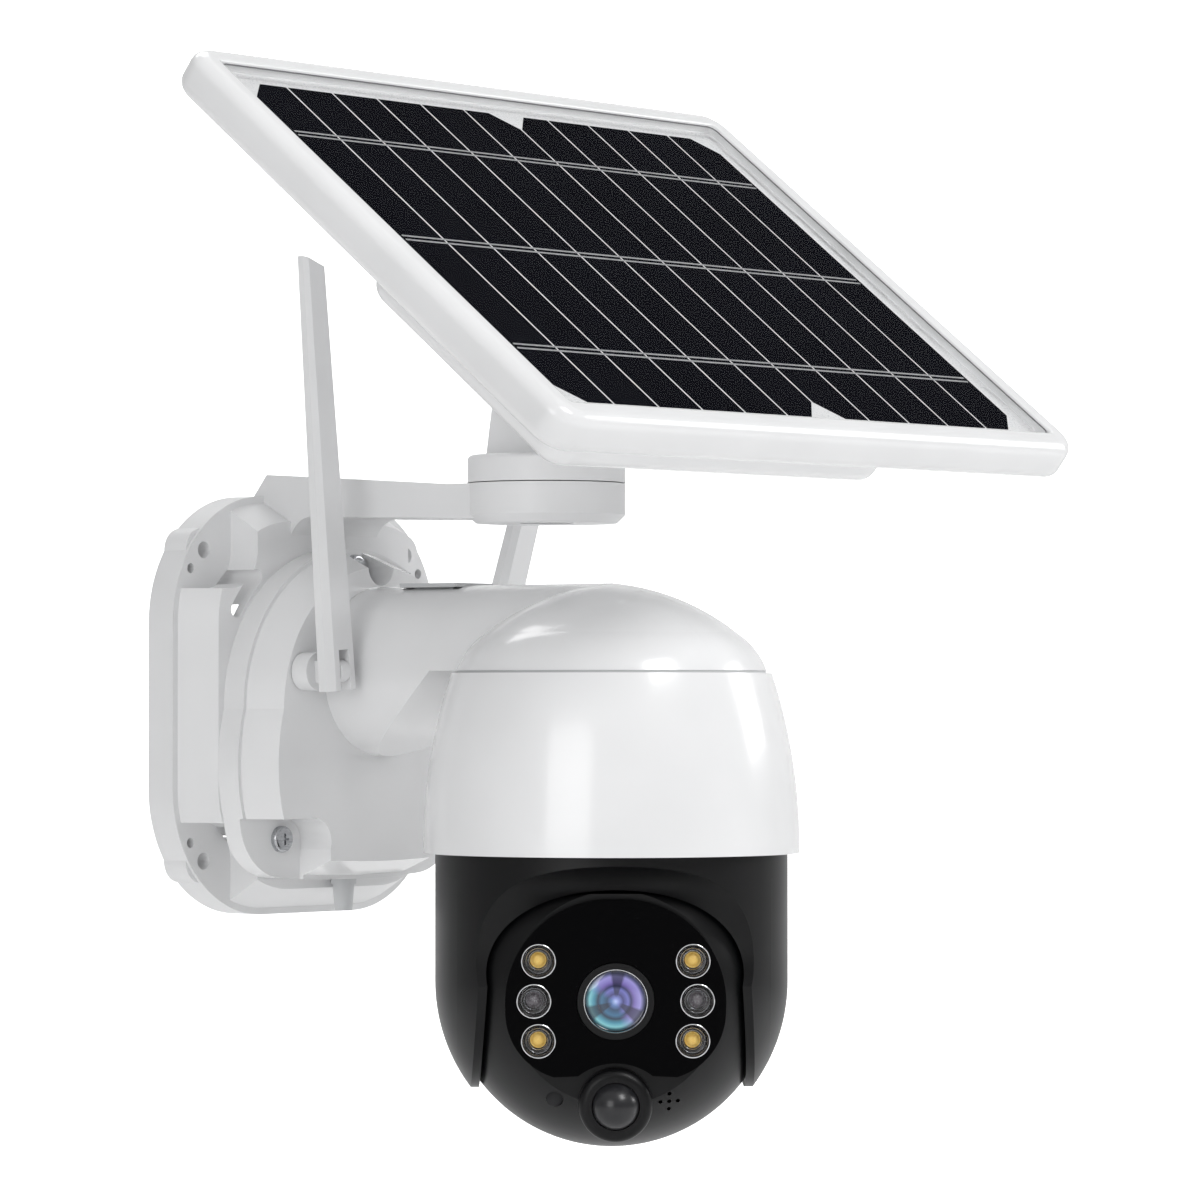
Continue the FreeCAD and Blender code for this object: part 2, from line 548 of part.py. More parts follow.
def tilt_bracket():
    """The foot under the battery box whose lug turns between the swivel's ears."""
    lug_y = HINGE_Y
    floor = "-frame_depth - box_depth"
    body = new_body("tilt_bracket")
    foot = rectangle(sketch_on(body, "XY_Plane", floor + " - 3"), "44", "30", "4", ("0", lug_y))
    feature(body, "Pad", foot, "3")
    lug = sketch_on(body, "YZ_Plane")
    low, high = f"{floor} - hinge_to_box", f"{floor} - 2"
    outline(lug, (f"{lug_y} - lug_radius", low), (("{0}".format(lug_y), f"{low} - lug_radius"),
            (f"{lug_y} + lug_radius", low)), ((f"{lug_y} + lug_radius + 2", high),),
            ((f"{lug_y} - lug_radius - 2", high),), ((f"{lug_y} - lug_radius", low),))
    feature(body, "Pad", lug, "lug_width", SideType="Symmetric")
    pin = circle(sketch_on(body, "YZ_Plane"), "pin_hole", lug_y, low)
    remove(body, pin, "2 * lug_width", SideType="Symmetric")
    screws = sketch_on(body, "XY_Plane", floor)
    for sx in (-1, 1):
        circle(screws, "1.7", f"{sx} * 17", lug_y)
    remove(body, screws, "3")
    finish(body, "tilt_bracket", PANEL)


def battery_pack():
    middle = ("(box_high - box_low) / 2", "-frame_depth - box_depth + box_wall + battery_radius + 0.4")
    cells_list = []
    for bank in (-1, 1):
        for number in (-1, 0, 1):
            at = (f"{bank} * 34.5 - battery_length / 2", f"{middle[0]} + {number} * battery_pitch", middle[1])
            cells_list.append(cylinder(f"cell_{bank + 1}_{number + 1}", "battery_radius", "battery_length", at, "x"))
    finish(group("battery_cells", *cells_list), "battery_cells", PANEL)
    board = box("charge_board_sheet", "46", "10.5", "1.6", ("0", "box_high - 8.5", "-frame_depth - 5"))
    finish(board, "charge_board", PANEL)
    screws = []
    for sx in (-1, 1):
        at = (f"{sx} * 17", HINGE_Y, "-frame_depth - box_depth - 4.95")
        screws.append(fuse(f"box_screw_{sx + 1}", cylinder(f"box_head_{sx + 1}", "2.9", "1.9", at),
                           cylinder(f"box_shank_{sx + 1}", "1.45", "7.3", at)))
    return screws


# ---- camera base, arm and dome cap ----

def base_outline(sketch, grow="0"):
    """The foot of the arm: a round top, bulging sides and a rounded square bottom."""
    g = grow
    outline(
        sketch, (f"-base_radius - ({g})", "base_centre_z"),
        (("0", f"base_centre_z + base_radius + ({g})"), (f"base_radius + ({g})", "base_centre_z")),
        ((f"base_side + ({g})", "base_side_z"), (f"base_low_x + ({g})", "base_low_z")),
        ((f"base_corner_x + ({g})", f"base_corner_z - ({g})"), (f"base_foot_x", f"base_foot_z - ({g})")),
        (("0", f"base_bottom - ({g})"), (f"-base_foot_x", f"base_foot_z - ({g})")),
        ((f"-base_corner_x - ({g})", f"base_corner_z - ({g})"), (f"-base_low_x - ({g})", "base_low_z")),
        ((f"-base_side - ({g})", "base_side_z"), (f"-base_radius - ({g})", "base_centre_z")))
    return sketch


def base_block():
    """The solid foot: a rim against the wall plate and a drafted hub in front of it."""
    body = new_body("base_block")
    feature(body, "Pad", base_outline(sketch_on(body, "XZ_Plane", "plate_depth")), "base_front - plate_depth")
    slope = "(hub_front - base_front) * tan(hub_slope)"
    hub = [base_outline(sketch_on(body, "XZ_Plane", level), inset)
           for level, inset in (("base_front", "-hub_inset"), ("hub_front", "-hub_inset - " + slope))]
    drafted(body, *hub)
    for sx in (-1, 1):
        pocket = sketch_on(body, "XZ_Plane", "hub_front")
        inner, top = f"{sx} * (base_screw_x - base_pocket)", "base_screw_z + 6.2"
        bend_x = f"{sx} * (base_screw_x - base_pocket * 0.8)"
        outline(pocket, (inner, "base_screw_z - 3"), ((bend_x, "base_screw_z + 4.2"), (f"{sx} * base_screw_x", top)),
                ((f"{sx} * plate_width", top),), ((f"{sx} * plate_width", "-plate_height"),),
                ((inner, "-plate_height"),), ((inner, "base_screw_z - 3"),))
        remove(body, pocket, "hub_front - base_front + 1.5")
    notch = circle(sketch_on(body, "XZ_Plane", "hub_front"), "5.6", "0", "top_screw_z")
    remove(body, notch, "hub_front - base_front")
    hollow = base_outline(sketch_on(body, "XZ_Plane", "plate_depth"), "-3")
    remove(body, hollow, "lid_depth", Reversed=True)
    deep = rectangle(sketch_on(body, "XZ_Plane", "plate_depth"), "66", "58", "12", ("0", "2"))
    remove(body, deep, "hub_front - plate_depth - 3", Reversed=True)
    screws = sketch_on(body, "XZ_Plane", "hub_front")
    for sx in (-1, 1):
        circle(screws, "base_screw_radius", f"{sx} * base_screw_x", "base_screw_z")
        circle(screws, "3.3", f"{sx} * antenna_x", "antenna_z")
    circle(screws, "base_screw_radius", "0", "top_screw_z")
    remove(body, screws, "hub_front")
    return body


def arm_tube(name, radius, start, end):
    """The round arm, its underside swept up to the dome's seam."""
    tube = cylinder(name + "_round", radius, f"{end} - ({start})", ("0", f"-({start})", "tube_z"), "-y")
    under = new_body(name + "_under")
    low = "tube_z - tube_radius"
    inset = f"(tube_radius - ({radius}))"
    outline(sketch_on(under, "YZ_Plane"), ("-hub_front - 3", f"{low} - 6"),
            (("-hub_front - 3", f"{low} + {inset}"),),
            (("-hub_front - 20", f"{low} + 8.5 + {inset}"), ("-dome_y + shell_top + 1.5", f"seam_z + {inset}")),
            (("-dome_y - 60", f"seam_z + {inset}"),), (("-dome_y - 60", f"{low} - 6"),),
            (("-hub_front - 3", f"{low} - 6"),))
    feature(under, "Pad", under.Group[-1], "4 * tube_radius", SideType="Symmetric")
    return cut(name + "_swept", tube, under)


def cap_profile(sketch, inset):
    """Half the section of the dome's cap, from the seam to the top."""
    i = inset
    outline(sketch, ("0", "seam_z"), ((f"cap_radius - ({i})", "seam_z"),),
            ((f"cap_radius - 3.6 - ({i})", "seam_z + 6.4"),
             (f"cap_shoulder - ({i}) * 0.7", f"cap_shoulder_z - ({i}) * 0.7")),
            ((f"cap_shoulder / 2", f"cap_top - 4.1 - ({i})"), ("0", f"cap_top - ({i})")), (("0", "seam_z"),))


def turned(name, profile, *arguments):
    body = new_body(name)
    sketch = sketch_on(body, "XZ_Plane")
    profile(sketch, *arguments)
    spin(body, sketch)
    body.Placement = DOME.multiply(FreeCAD.Placement(V(0, 0, 0), FreeCAD.Rotation(V(0, 0, 1), -100)))
    return body


def arm_housing():
    """Foot, arm and dome cap in one moulding, hollow for the wiring and the main board."""
    outer_tube = arm_tube("arm_outer", "tube_radius", "hub_front - 4", "dome_y")
    inner_tube = arm_tube("arm_inner", "tube_radius - tube_wall", "hub_front - 8", "dome_y")
    cap = turned("cap_outer", cap_profile, "0")
    hollow = turned("cap_hollow", cap_profile, "cap_wall")
    recess = cylinder("cap_screw_recess", "1.9", "12", ("30.5", "-dome_y - 1", "17.5"), "z")
    card = box("card_recess", "card_width + 0.4", "card_length + 0.4", "5", ("0", "-card_y", "tube_z + tube_radius + 1.4"))
    port = box("card_port", "card_width - 5", "card_length - 6", "12", ("0", "-card_y", "tube_z + tube_radius - 2"))
    block = base_block()
    shell = fuse("housing_outer", block, outer_tube, cap)
    gland_seat = cylinder("gland_seat", "gland_radius + 1.2", "8", ("0", "-gland_y", "base_bottom - 6"))
    gland_way = cylinder("gland_way", "1.6", "30", ("0", "-gland_y", "base_bottom - 2"))
    housing = cut("arm_housing", shell, inner_tube, hollow, recess, card, port, gland_seat, gland_way)
    finish(housing, "arm_housing")


def base_lid():
    """The flat lid in the back of the foot, with its rubber seal around it."""
    for label, grow, thick, back in (("base_lid", "-5.4", "lid_depth - 0.2", "0.2"), ("base_seal", "-3.2", "1.6", "0.2")):
        body = new_body(label)
        plate = base_outline(sketch_on(body, "XZ_Plane", f"plate_depth + {back}"), grow)
        if label == "base_seal":
            base_outline(plate, "-5.2")
        feature(body, "Pad", plate, thick)
        holes = sketch_on(body, "XZ_Plane", "plate_depth - 1")
        for sx in (-1, 1):
            circle(holes, "2.6", f"{sx} * base_screw_x", "base_screw_z")
        circle(holes, "2.6", "0", "top_screw_z")
        remove(body, holes, "plate_depth", Reversed=True)
        finish(body, label)


def screw(name, at, head_radius, shank_radius, length):
    """A pan head Phillips screw whose head looks along -Y."""
    x, y, z = at
    head = cylinder(name + "_head", head_radius, "2", (x, f"-({y})", z), "-y")
    rounded = round_edges(name + "_dome", head, "0.9", on_plane("Y", -value(y) - 2))
    shank = cylinder(name + "_shank", shank_radius, length, (x, f"-({y}) + ({length})", z), "-y")
    slots = [box(f"{name}_slot_{i}", *size, (x, f"-({y}) - 2", z))
             for i, size in enumerate((("3.4", "1.8", "0.7"), ("0.7", "1.8", "3.4")))]
    return cut(name, fuse(name + "_blank", rounded, shank), *slots)


def base_fittings():
    spots = [("-base_screw_x", "base_front - 1.5", "base_screw_z"), ("base_screw_x", "base_front - 1.5", "base_screw_z"),
             ("0", "base_front + 0.05", "top_screw_z")]
    screws = [screw(f"base_screw_{i}", at, "3.9", "1.2", "16") for i, at in enumerate(spots)]
    finish(group("base_screws", *screws), "base_screws")
    cover = box("card_cover_plate", "card_width", "card_length", "card_thick",
                ("0", "-card_y", "tube_z + tube_radius - 1.1 + card_thick / 2 + 0.6"))
    plug = box("card_cover_plug", "card_width - 5.6", "card_length - 6.6", "2",
               ("0", "-card_y", "tube_z + tube_radius - 1.4"))
    finish(fuse("card_cover", cover, plug), "card_cover")
    finish(screw_cap("cap_screw", ("30.5", "-dome_y - 1", "17.6")), "cap_screw")
    bush = cylinder("gland_bush", "gland_radius + 1.2", "3.5", ("0", "-gland_y", "base_bottom - 1.5"))
    tail = cone("gland_tail", "gland_radius", "gland_radius + 0.7", "gland_length",
                ("0", "-gland_y", "base_bottom - gland_length - 1.5"))
    bore = cylinder("gland_bore", "1.6", "30", ("0", "-gland_y", "base_bottom - 15"))
    finish(cut("cable_gland", fuse("gland_blank", bush, tail), bore), "cable_gland")


def screw_cap(name, at):
    """A small upright screw at the bottom of a recess."""
    x, y, z = at
    head = cylinder(name + "_head", "1.8", "1.4", (x, y, z))
    slot = box(name + "_slot", "2.2", "0.5", "1.2", (x, y, f"{z} + 1.4"))
    return cut(name, head, slot)


# ---- dome shell and pan drive ----

def shell_profile(sketch):
    """Section of the white shell below the seam: a smooth bulging wall."""
    outline(sketch, ("shell_top - 2.8", "shell_top_z"), (("shell_top", "shell_top_z"),),
            (("shell_mid", "shell_mid_z"), ("shell_bottom", "shell_bottom_z")),
            (("shell_bottom - 2.5", "shell_bottom_z"),),
            (("shell_mid - 2.6", "shell_mid_z"), ("shell_top - 2.8", "shell_top_z")))


def ring_profile(sketch, inner, outer, low, high):
    outline(sketch, (inner, low), ((outer, low),), ((outer, high),), ((inner, high),), ((inner, low),))


def dome_parts():
    finish(turned("dome_shell", shell_profile), "dome_shell", DOME)
    finish(turned("dome_gasket", ring_profile, "shell_top - 2.8", "cap_radius - 0.2", "seam_z - gasket_thick", "seam_z"),
           "dome_gasket", DOME)
    plate = cylinder("motor_plate_disc", "motor_plate_radius", "motor_plate_thick", ("0", "0", "motor_plate_z"))
    hole = cylinder("motor_plate_hole", "bearing_outer", "9", ("0", "0", "motor_plate_z - 3"))
    shaft = cylinder("motor_plate_shaft", "6", "9", ("0", "pan_centres", "motor_plate_z - 3"))
    finish(cut("motor_plate", plate, hole, shaft), "motor_plate", DOME)
    finish(turned("pan_bearing", ring_profile, "bearing_inner", "bearing_outer", "motor_plate_z",
                  "motor_plate_z + motor_plate_thick"), "pan_bearing", DOME)
    can = cylinder("pan_motor_can", "14", "17", ("8", "pan_centres", "motor_plate_z + motor_plate_thick + 0.1"))
    boss = cylinder("pan_motor_boss", "4.4", "2", ("0", "pan_centres", "motor_plate_z + motor_plate_thick - 1.9"))
    bore = cylinder("pan_motor_bore", "1.55", "9", ("0", "pan_centres", "motor_plate_z - 3"))
    finish(cut("pan_motor", fuse("pan_motor_blank", can, boss), bore), "pan_motor", DOME)
    board = box("main_board_sheet", "56", "46", "1.6", ("0", "0", "-3"))
    chips = [box(f"main_board_chip_{i}", *size, (x, y, "-1.2")) for i, (size, x, y) in enumerate((
        (("12", "12", "2"), "-8", "4"), (("9", "7", "2"), "12", "-8"), (("14", "15", "2"), "14", "9")))]
    finish(fuse("main_board", board, *chips), "main_board", DOME)


# ---- gears ----

def gear_shape(teeth, module, thick, bore, slack=0.12):
    """A spur gear with straight-sided teeth, one tooth centred on +X."""
    pitch = teeth * module / 2
    root, tip = pitch - 1.25 * module, pitch + 0.95 * module
    step = 2 * math.pi / teeth
    points = []
    for number in range(teeth):
        middle = number * step
        for radius, share in ((root, -0.36), (tip, -0.13), (tip, 0.13), (root, 0.36)):
            angle = middle + step * (share - math.copysign(slack * module / radius / step, share))
            points.append(V(radius * math.cos(angle), radius * math.sin(angle), 0))
    blank = Part.Face(Part.makePolygon(points + points[:1])).extrude(V(0, 0, thick))
    return blank.cut(Part.makeCylinder(bore, thick * 3, V(0, 0, -thick)))


def gear(label, teeth, module, thick, bore, placement, shaft=0):
    """A gear as a sub-part; a pinion also carries its motor shaft, which rises above it."""
    obj = DOC.addObject("Part::Feature", label)
    shape = gear_shape(int(value(teeth)), value(module), thick, bore)
    if shaft:
        shape = shape.fuse(Part.makeCylinder(bore, thick + shaft)).removeSplitter()
    obj.Shape = shape
    return finish(obj, label, placement)


def drives():
    """Pan gear on the yoke and its pinion; tilt gear on the ball's pivot and its pinion."""
    centres = value("pan_centres")
    gear_z = value("yoke_top") + 1.0
    rest = FreeCAD.Rotation(V(0, 0, 1), 90 - value("head_yaw"))
    gear("pan_gear", "pan_teeth", "pan_module", 3, value("spindle_radius"),
         HEAD.multiply(FreeCAD.Placement(V(0, 0, gear_z), rest)))
    half_tooth = 180 / value("pan_pinion_teeth")
    gear("pan_pinion", "pan_pinion_teeth", "pan_module", 3.4, 1.5,
         DOME.multiply(FreeCAD.Placement(V(0, centres, value("tilt_z") + gear_z - 0.2),
                                         FreeCAD.Rotation(V(0, 0, 1), -90 + half_tooth))), shaft=6)
    sideways = FreeCAD.Rotation(V(0, 1, 0), 90)
    gear("tilt_gear", "tilt_teeth", "tilt_module", 2.2, value("pivot_radius"),
         BALL.multiply(FreeCAD.Placement(V(value("cover_split") - 2.7, 0, 0), sideways)))
    # the ball's pitch turns the gear's teeth, so the pinion stands where they mesh at rest
    step = 360 / value("tilt_teeth")
    phase = (value("head_pitch") % step) / step
    pinion_step = 360 / value("tilt_pinion_teeth")
    turn = FreeCAD.Rotation(V(0, 0, 1), pinion_step * (0.5 - phase) - 0.0)
    gear("tilt_pinion", "tilt_pinion_teeth", "tilt_module", 2.4, 0.75,
         HEAD.multiply(FreeCAD.Placement(V(value("cover_split") - 2.8, 0, value("tilt_centres")), sideways.multiply(turn))))


# ---- head ----

def yoke_solid():
    """Round above the tilt axis and ball shaped below it, cut to the arms' side view."""
    barrel = cylinder("yoke_barrel", "yoke_radius", "yoke_top")
    lower = sphere("yoke_lower", "yoke_radius")
    side = new_body("yoke_side_view")
    outline(sketch_on(side, "YZ_Plane"), ("-arch_side", "0"),
            (("-arch_mid_y", "arch_mid_z"), ("-yoke_radius - 2", "arch_top")), (("-yoke_radius - 2", "yoke_top"),),
            (("yoke_radius + 2", "yoke_top"),), (("yoke_radius + 2", "arch_top"),),
            (("arch_mid_y", "arch_mid_z"), ("arch_side", "0")), (("0", "-arm_tip"), ("-arch_side", "0")))
    feature(side, "Pad", side.Group[-1], "4 * yoke_radius", SideType="Symmetric")
    cavity = common("yoke_cavity", sphere("yoke_void", "cavity_radius"),
                    box("yoke_void_box", "2 * arm_inner", "4 * yoke_radius", "4 * yoke_radius",
                        ("0", "0", "yoke_top - yoke_roof - 2 * yoke_radius")))
    solid = common("yoke_outer", fuse("yoke_blank", barrel, lower), side)
    return cut("yoke_solid", solid, cavity)


def yoke_parts():
    solid = yoke_solid()
    for side, label in ((-1, "left"), (1, "right")):
        slab = box(f"cover_slab_{label}", "40", "4 * yoke_radius", "2 * yoke_radius",
                   (f"{side} * (cover_split + 20)", "0", "cover_top - yoke_radius"))
        skin = common(f"cover_{label}", solid, slab)
        if side > 0:
            motor = cylinder("tilt_motor_room", "7.4", "4.9", ("cover_split - 0.1", "0", "tilt_centres"), "x")
            skin = cut("cover_right_hollow", skin, motor)
        finish(skin, f"yoke_cover_{label}", HEAD)
    slabs = [box(f"yoke_slab_{i}", "40", "4 * yoke_radius", "2 * yoke_radius",
                 (f"{side} * (cover_split + 20)", "0", "cover_top - yoke_radius")) for i, side in enumerate((-1, 1))]
    pivot = cylinder("yoke_pivot_hole", "pivot_hole", "4 * ball_radius", ("-2 * ball_radius", "0", "0"), "x")
    gear_room = cylinder("gear_room", "tilt_module * tilt_teeth / 2 + 1.6", "3.2", ("cover_split - 3.1", "0", "0"), "x")
    pinion_room = cylinder("pinion_room", "tilt_module * tilt_pinion_teeth / 2 + 1.8", "3.2",
                           ("cover_split - 3.1", "0", "tilt_centres"), "x")
    axle = cylinder("yoke_axle_hole", "spindle_radius - 3", "20", ("0", "0", "yoke_top - 10"))
    finish(cut("yoke", solid, *slabs, pivot, gear_room, pinion_room, axle), "yoke", HEAD)
    tube = cylinder("spindle_tube", "spindle_radius", "13", ("0", "0", "yoke_top"))
    bore = cylinder("spindle_bore", "spindle_radius - 3", "30", ("0", "0", "yoke_top - 10"))
    finish(cut("pan_spindle", tube, bore), "pan_spindle", HEAD)
    ring = cylinder("ring_disc", "13", "1.2", ("0", "0", "yoke_top + 9.1"))
    hole = cylinder("ring_hole", "spindle_radius", "9", ("0", "0", "yoke_top + 5"))
    finish(cut("retaining_ring", ring, hole), "retaining_ring", HEAD)
    can = cylinder("tilt_motor_can", "7", "4.2", ("cover_split + 0.1", "0", "tilt_centres"), "x")
    pin = cylinder("tilt_motor_pin", "0.7", "3.4", ("cover_split - 2.9", "0", "tilt_centres"), "x")
    finish(fuse("tilt_motor", can, pin), "tilt_motor", HEAD)


def ball_solid(name, inset):
    """The camera ball: a ball's front between two angles about the tilt axis, and a round core behind."""
    i = inset
    wedge = new_body(name + "_wedge")
    reach = "1.6 * ball_radius"
    up, low = "ball_upper_angle", "ball_lower_angle"
    outline(sketch_on(wedge, "YZ_Plane"), ("0", "0"), ((f"-{reach} * cos({up})", f"{reach} * sin({up}) - ({i}) * 1.3"),),
            ((f"-{reach} * 1.4", "0"), (f"-{reach} * cos({low})", f"{reach} * sin({low}) - ({i}) * 1.3")), (("0", "0"),))
    feature(wedge, "Pad", wedge.Group[-1], "4 * ball_radius", SideType="Symmetric")
    round_all = sphere(name + "_round", f"ball_radius - ({i})")
    core = cylinder(name + "_core", f"ball_core - ({i})", "4 * ball_radius", ("-2 * ball_radius", "0", "0"), "x")
    sides = box(name + "_sides", f"2 * (ball_flat - ({i}))", "4 * ball_radius", "4 * ball_radius")
    face = box(name + "_face", "4 * ball_radius", "4 * ball_radius", "4 * ball_radius",
               ("0", f"2 * ball_radius - face_y + ({i})", "0"))
    return common(name, fuse(name + "_blank", wedge, core), round_all, sides, face)


def camera_shells():
    outer, inner = ball_solid("ball_outer", "0"), ball_solid("ball_inner", "ball_wall")
    nose = cylinder("nose_tube", "nose_radius", "14", ("0", "-nose_front + 14", "nose_z"), "-y")
    nose_round = round_edges("nose_rounded", nose, "2.4", on_plane("Y", -value("nose_front")))
    pir = cylinder("nose_hole", "pir_radius", "24", ("0", "-nose_front + 22", "nose_z"), "-y")
    mic = cylinder("mic_hole", "mic_radius", "24", ("-mic_x", "-nose_front + 22", "mic_z"), "-y")
    speaker = [cylinder(f"speaker_hole_{i}", "0.6", "20", (f"speaker_x + {dx}", "-nose_front + 18", f"speaker_z + {dz}"), "-y")
               for i, (dx, dz) in enumerate(((0, 0), (2.5, 0), (-2.5, 0), (0, 2.5), (0, -2.5)))]
    openings = [cylinder("lens_hole", "lens_hole + 0.6", "20", ("0", "-face_y + 10", "-lens_drop"), "-y")]
    openings += [cylinder(f"cup_hole_{i}", "cup_radius + 0.1", "20", (x, "-face_y + 10", z), "-y")
                 for i, (x, z) in enumerate(light_spots())]
    shell = cut("ball_shell", fuse("ball_with_nose", outer, nose_round), inner, pir, mic, *speaker, *openings)
    halves = (("camera_front_shell", "-2 * ball_radius"), ("camera_rear_shell", "2 * ball_radius"))
    for label, middle in halves:
        half = box(label + "_half", "4 * ball_radius", "4 * ball_radius", "4 * ball_radius", ("0", middle, "0"))
        finish(common(label + "_cut", shell, half), label, BALL)


def light_spots():
    """Middles of the six lamp cups on the face: four white lamps at the corners, two infrared between."""
    spots = [(f"{sx} * led_x", f"-lens_drop + {sz} * led_rise") for sx in (-1, 1) for sz in (1, -1)]
    return spots + [(f"{sx} * ir_x", "-lens_drop") for sx in (-1, 1)]


def face_plate():
    """The glossy shield over the lamps, its foot curved up round the nose."""
    body = new_body("face_plate")
    sketch = sketch_on(body, "XZ_Plane", "face_y")
    outline(sketch, ("-face_half_width", "-3"), (("-face_half_width * 0.76", "face_top * 0.66"), ("0", "face_top")),
            (("face_half_width * 0.76", "face_top * 0.66"), ("face_half_width", "-3")),
            (("face_half_width * 0.89", "-face_low + 5"), ("face_half_width * 0.56", "-face_low - 2.5")),
            (("10.5", "-face_low - 2.2"),), (("0", "nose_z + nose_radius + 1.5"), ("-10.5", "-face_low - 2.2")),
            (("-face_half_width * 0.56", "-face_low - 2.5"),),
            (("-face_half_width * 0.89", "-face_low + 5"), ("-face_half_width", "-3")))
    feature(body, "Pad", sketch, "face_thick")
    holes = sketch_on(body, "XZ_Plane", "face_y + face_thick")
    circle(holes, "lens_hole", "0", "-lens_drop")
    for x, z in light_spots():
        circle(holes, "cup_radius + 0.05", x, z)
    remove(body, holes, "face_thick")
    finish(body, "face_plate", BALL)


def optics():
    front = "face_y + face_thick"
    level = "-lens_drop"
    barrel = cylinder("barrel_tube", "barrel_radius", "17", ("0", f"-({front}) + 16.4", level), "-y")
    bore = cylinder("barrel_bore", "ring_outer + 0.05", "3.4", ("0", f"-({front}) + 2.6", level), "-y")
    throat = cylinder("barrel_throat", "ring_inner - 1.3", "30", ("0", f"-({front}) + 17", level), "-y")
    finish(cut("lens_barrel", barrel, bore, throat), "lens_barrel", BALL)
    ring = cylinder("ring_blank", "ring_outer", "3", ("0", f"-({front}) + 2.5", level), "-y")
    hole = cylinder("ring_bore", "ring_inner", "9", ("0", f"-({front}) + 6", level), "-y")
    finish(cut("lens_ring", ring, hole), "lens_ring", BALL)
    ball = sphere("lens_ball", "10", ("0", f"-({front}) + 9.6", level))
    disc = cylinder("lens_disc", "ring_inner - 0.05", "6", ("0", f"-({front}) + 2.5", level), "-y")
    finish(common("lens_glass", ball, disc), "lens_glass", BALL)
    sensor = box("sensor_board_sheet", "26", "1.4", "26", ("0", f"-({front}) + 17.3", level))
    chip = box("sensor_chip", "8", "1", "8", ("0", f"-({front}) + 16.1", level))
    finish(fuse("image_sensor_board", sensor, chip), "image_sensor_board", BALL)
    board = box("led_board_sheet", "50", "1.2", "29", ("0", f"-({front}) + 7", level))
    opening = cylinder("led_board_hole", "barrel_radius + 0.6", "9", ("0", f"-({front}) + 11", level), "-y")
    finish(cut("led_board", board, opening), "led_board", BALL)
    cups = []
    for leds_label, spots in (("white_leds", light_spots()[:4]), ("infrared_leds", light_spots()[4:])):
        leds = []
        for number, (x, z) in enumerate(spots):
            name = f"{leds_label}_{number}"
            blank = cylinder(name + "_cup", "cup_radius", "5.6", (x, f"-({front}) + 5.4", z), "-y")
            well = cone(name + "_well", "2.1", "cup_radius - 0.7", "5.2", (x, f"-({front}) + 5", z), "-y")
            cups.append(cut(name + "_cup_cut", blank, well))
            leds.append(cylinder(name + "_chip", "1.8", "1.2", (x, f"-({front}) + 5", z), "-y"))
        finish(group(leds_label, *leds), leds_label, BALL)
    finish(group("lamp_cups", *cups), "lamp_cups", BALL)
    dome = sphere("pir_ball", "pir_radius - 0.1", ("0", "-nose_front + 1.4", "nose_z"))
    skirt = cylinder("pir_skirt", "pir_radius - 0.1", "6", ("0", "-nose_front + 7.4", "nose_z"), "-y")
    void = sphere("pir_void", "pir_radius - 1.3", ("0", "-nose_front + 1.8", "nose_z"))
    bore = cylinder("pir_bore", "pir_radius - 1.3", "12", ("0", "-nose_front + 13.8", "nose_z"), "-y")
    keep = box("pir_keep", "40", "40", "40", ("0", "-nose_front + 7.4 - 20", "nose_z"))
    hollow = fuse("pir_hollow", void, bore)
    finish(cut("pir_lens", common("pir_blank", fuse("pir_whole", dome, skirt), keep), hollow), "pir_lens", BALL)
    can = cylinder("pir_can", "4.1", "4", ("0", "-nose_front + 9", "nose_z"), "-y")
    finish(can, "pir_sensor", BALL)
    cone_box = cylinder("speaker_can", "7.2", "4", ("speaker_x", "-face_y + 17", "-25.5"), "-y")
    finish(cone_box, "speaker", BALL)
    capsule = cylinder("mic_can", "mic_radius - 0.05", "3", ("-mic_x", "-face_y + 8", "mic_z"), "-y")
    finish(capsule, "microphone", BALL)
    pivots = [cylinder("pivot_left", "pivot_radius", "6.1", ("-ball_flat", "0", "0"), "-x"),
              cylinder("pivot_right", "pivot_radius", "6.1", ("ball_flat", "0", "0"), "x")]
    finish(group("tilt_pivots", *pivots), "tilt_pivots", BALL)


# ---- antennas ----

def blade_shape():
    """A tapered bar with bevelled long edges and a slanted top."""
    def section(z, width, depth, tip):
        bevel = depth * 0.28
        half_w, half_d = width / 2, depth / 2
        ring = ((half_w, half_d - bevel), (half_w - bevel, half_d), (-half_w + bevel, half_d), (-half_w, half_d - bevel),
                (-half_w, -half_d + bevel), (-half_w + bevel, -half_d), (half_w - bevel, -half_d), (half_w, -half_d + bevel))
        points = [V(x, y, z + tip * x / width) for x, y in ring]
        return Part.makePolygon(points + points[:1])
    length = value("blade_length")
    return Part.makeLoft([section(-value("blade_below"), value("blade_root_width"), value("blade_root_depth"), 0),
                          section(length, value("blade_tip_width"), value("blade_tip_depth"), -4.0)], True, True)


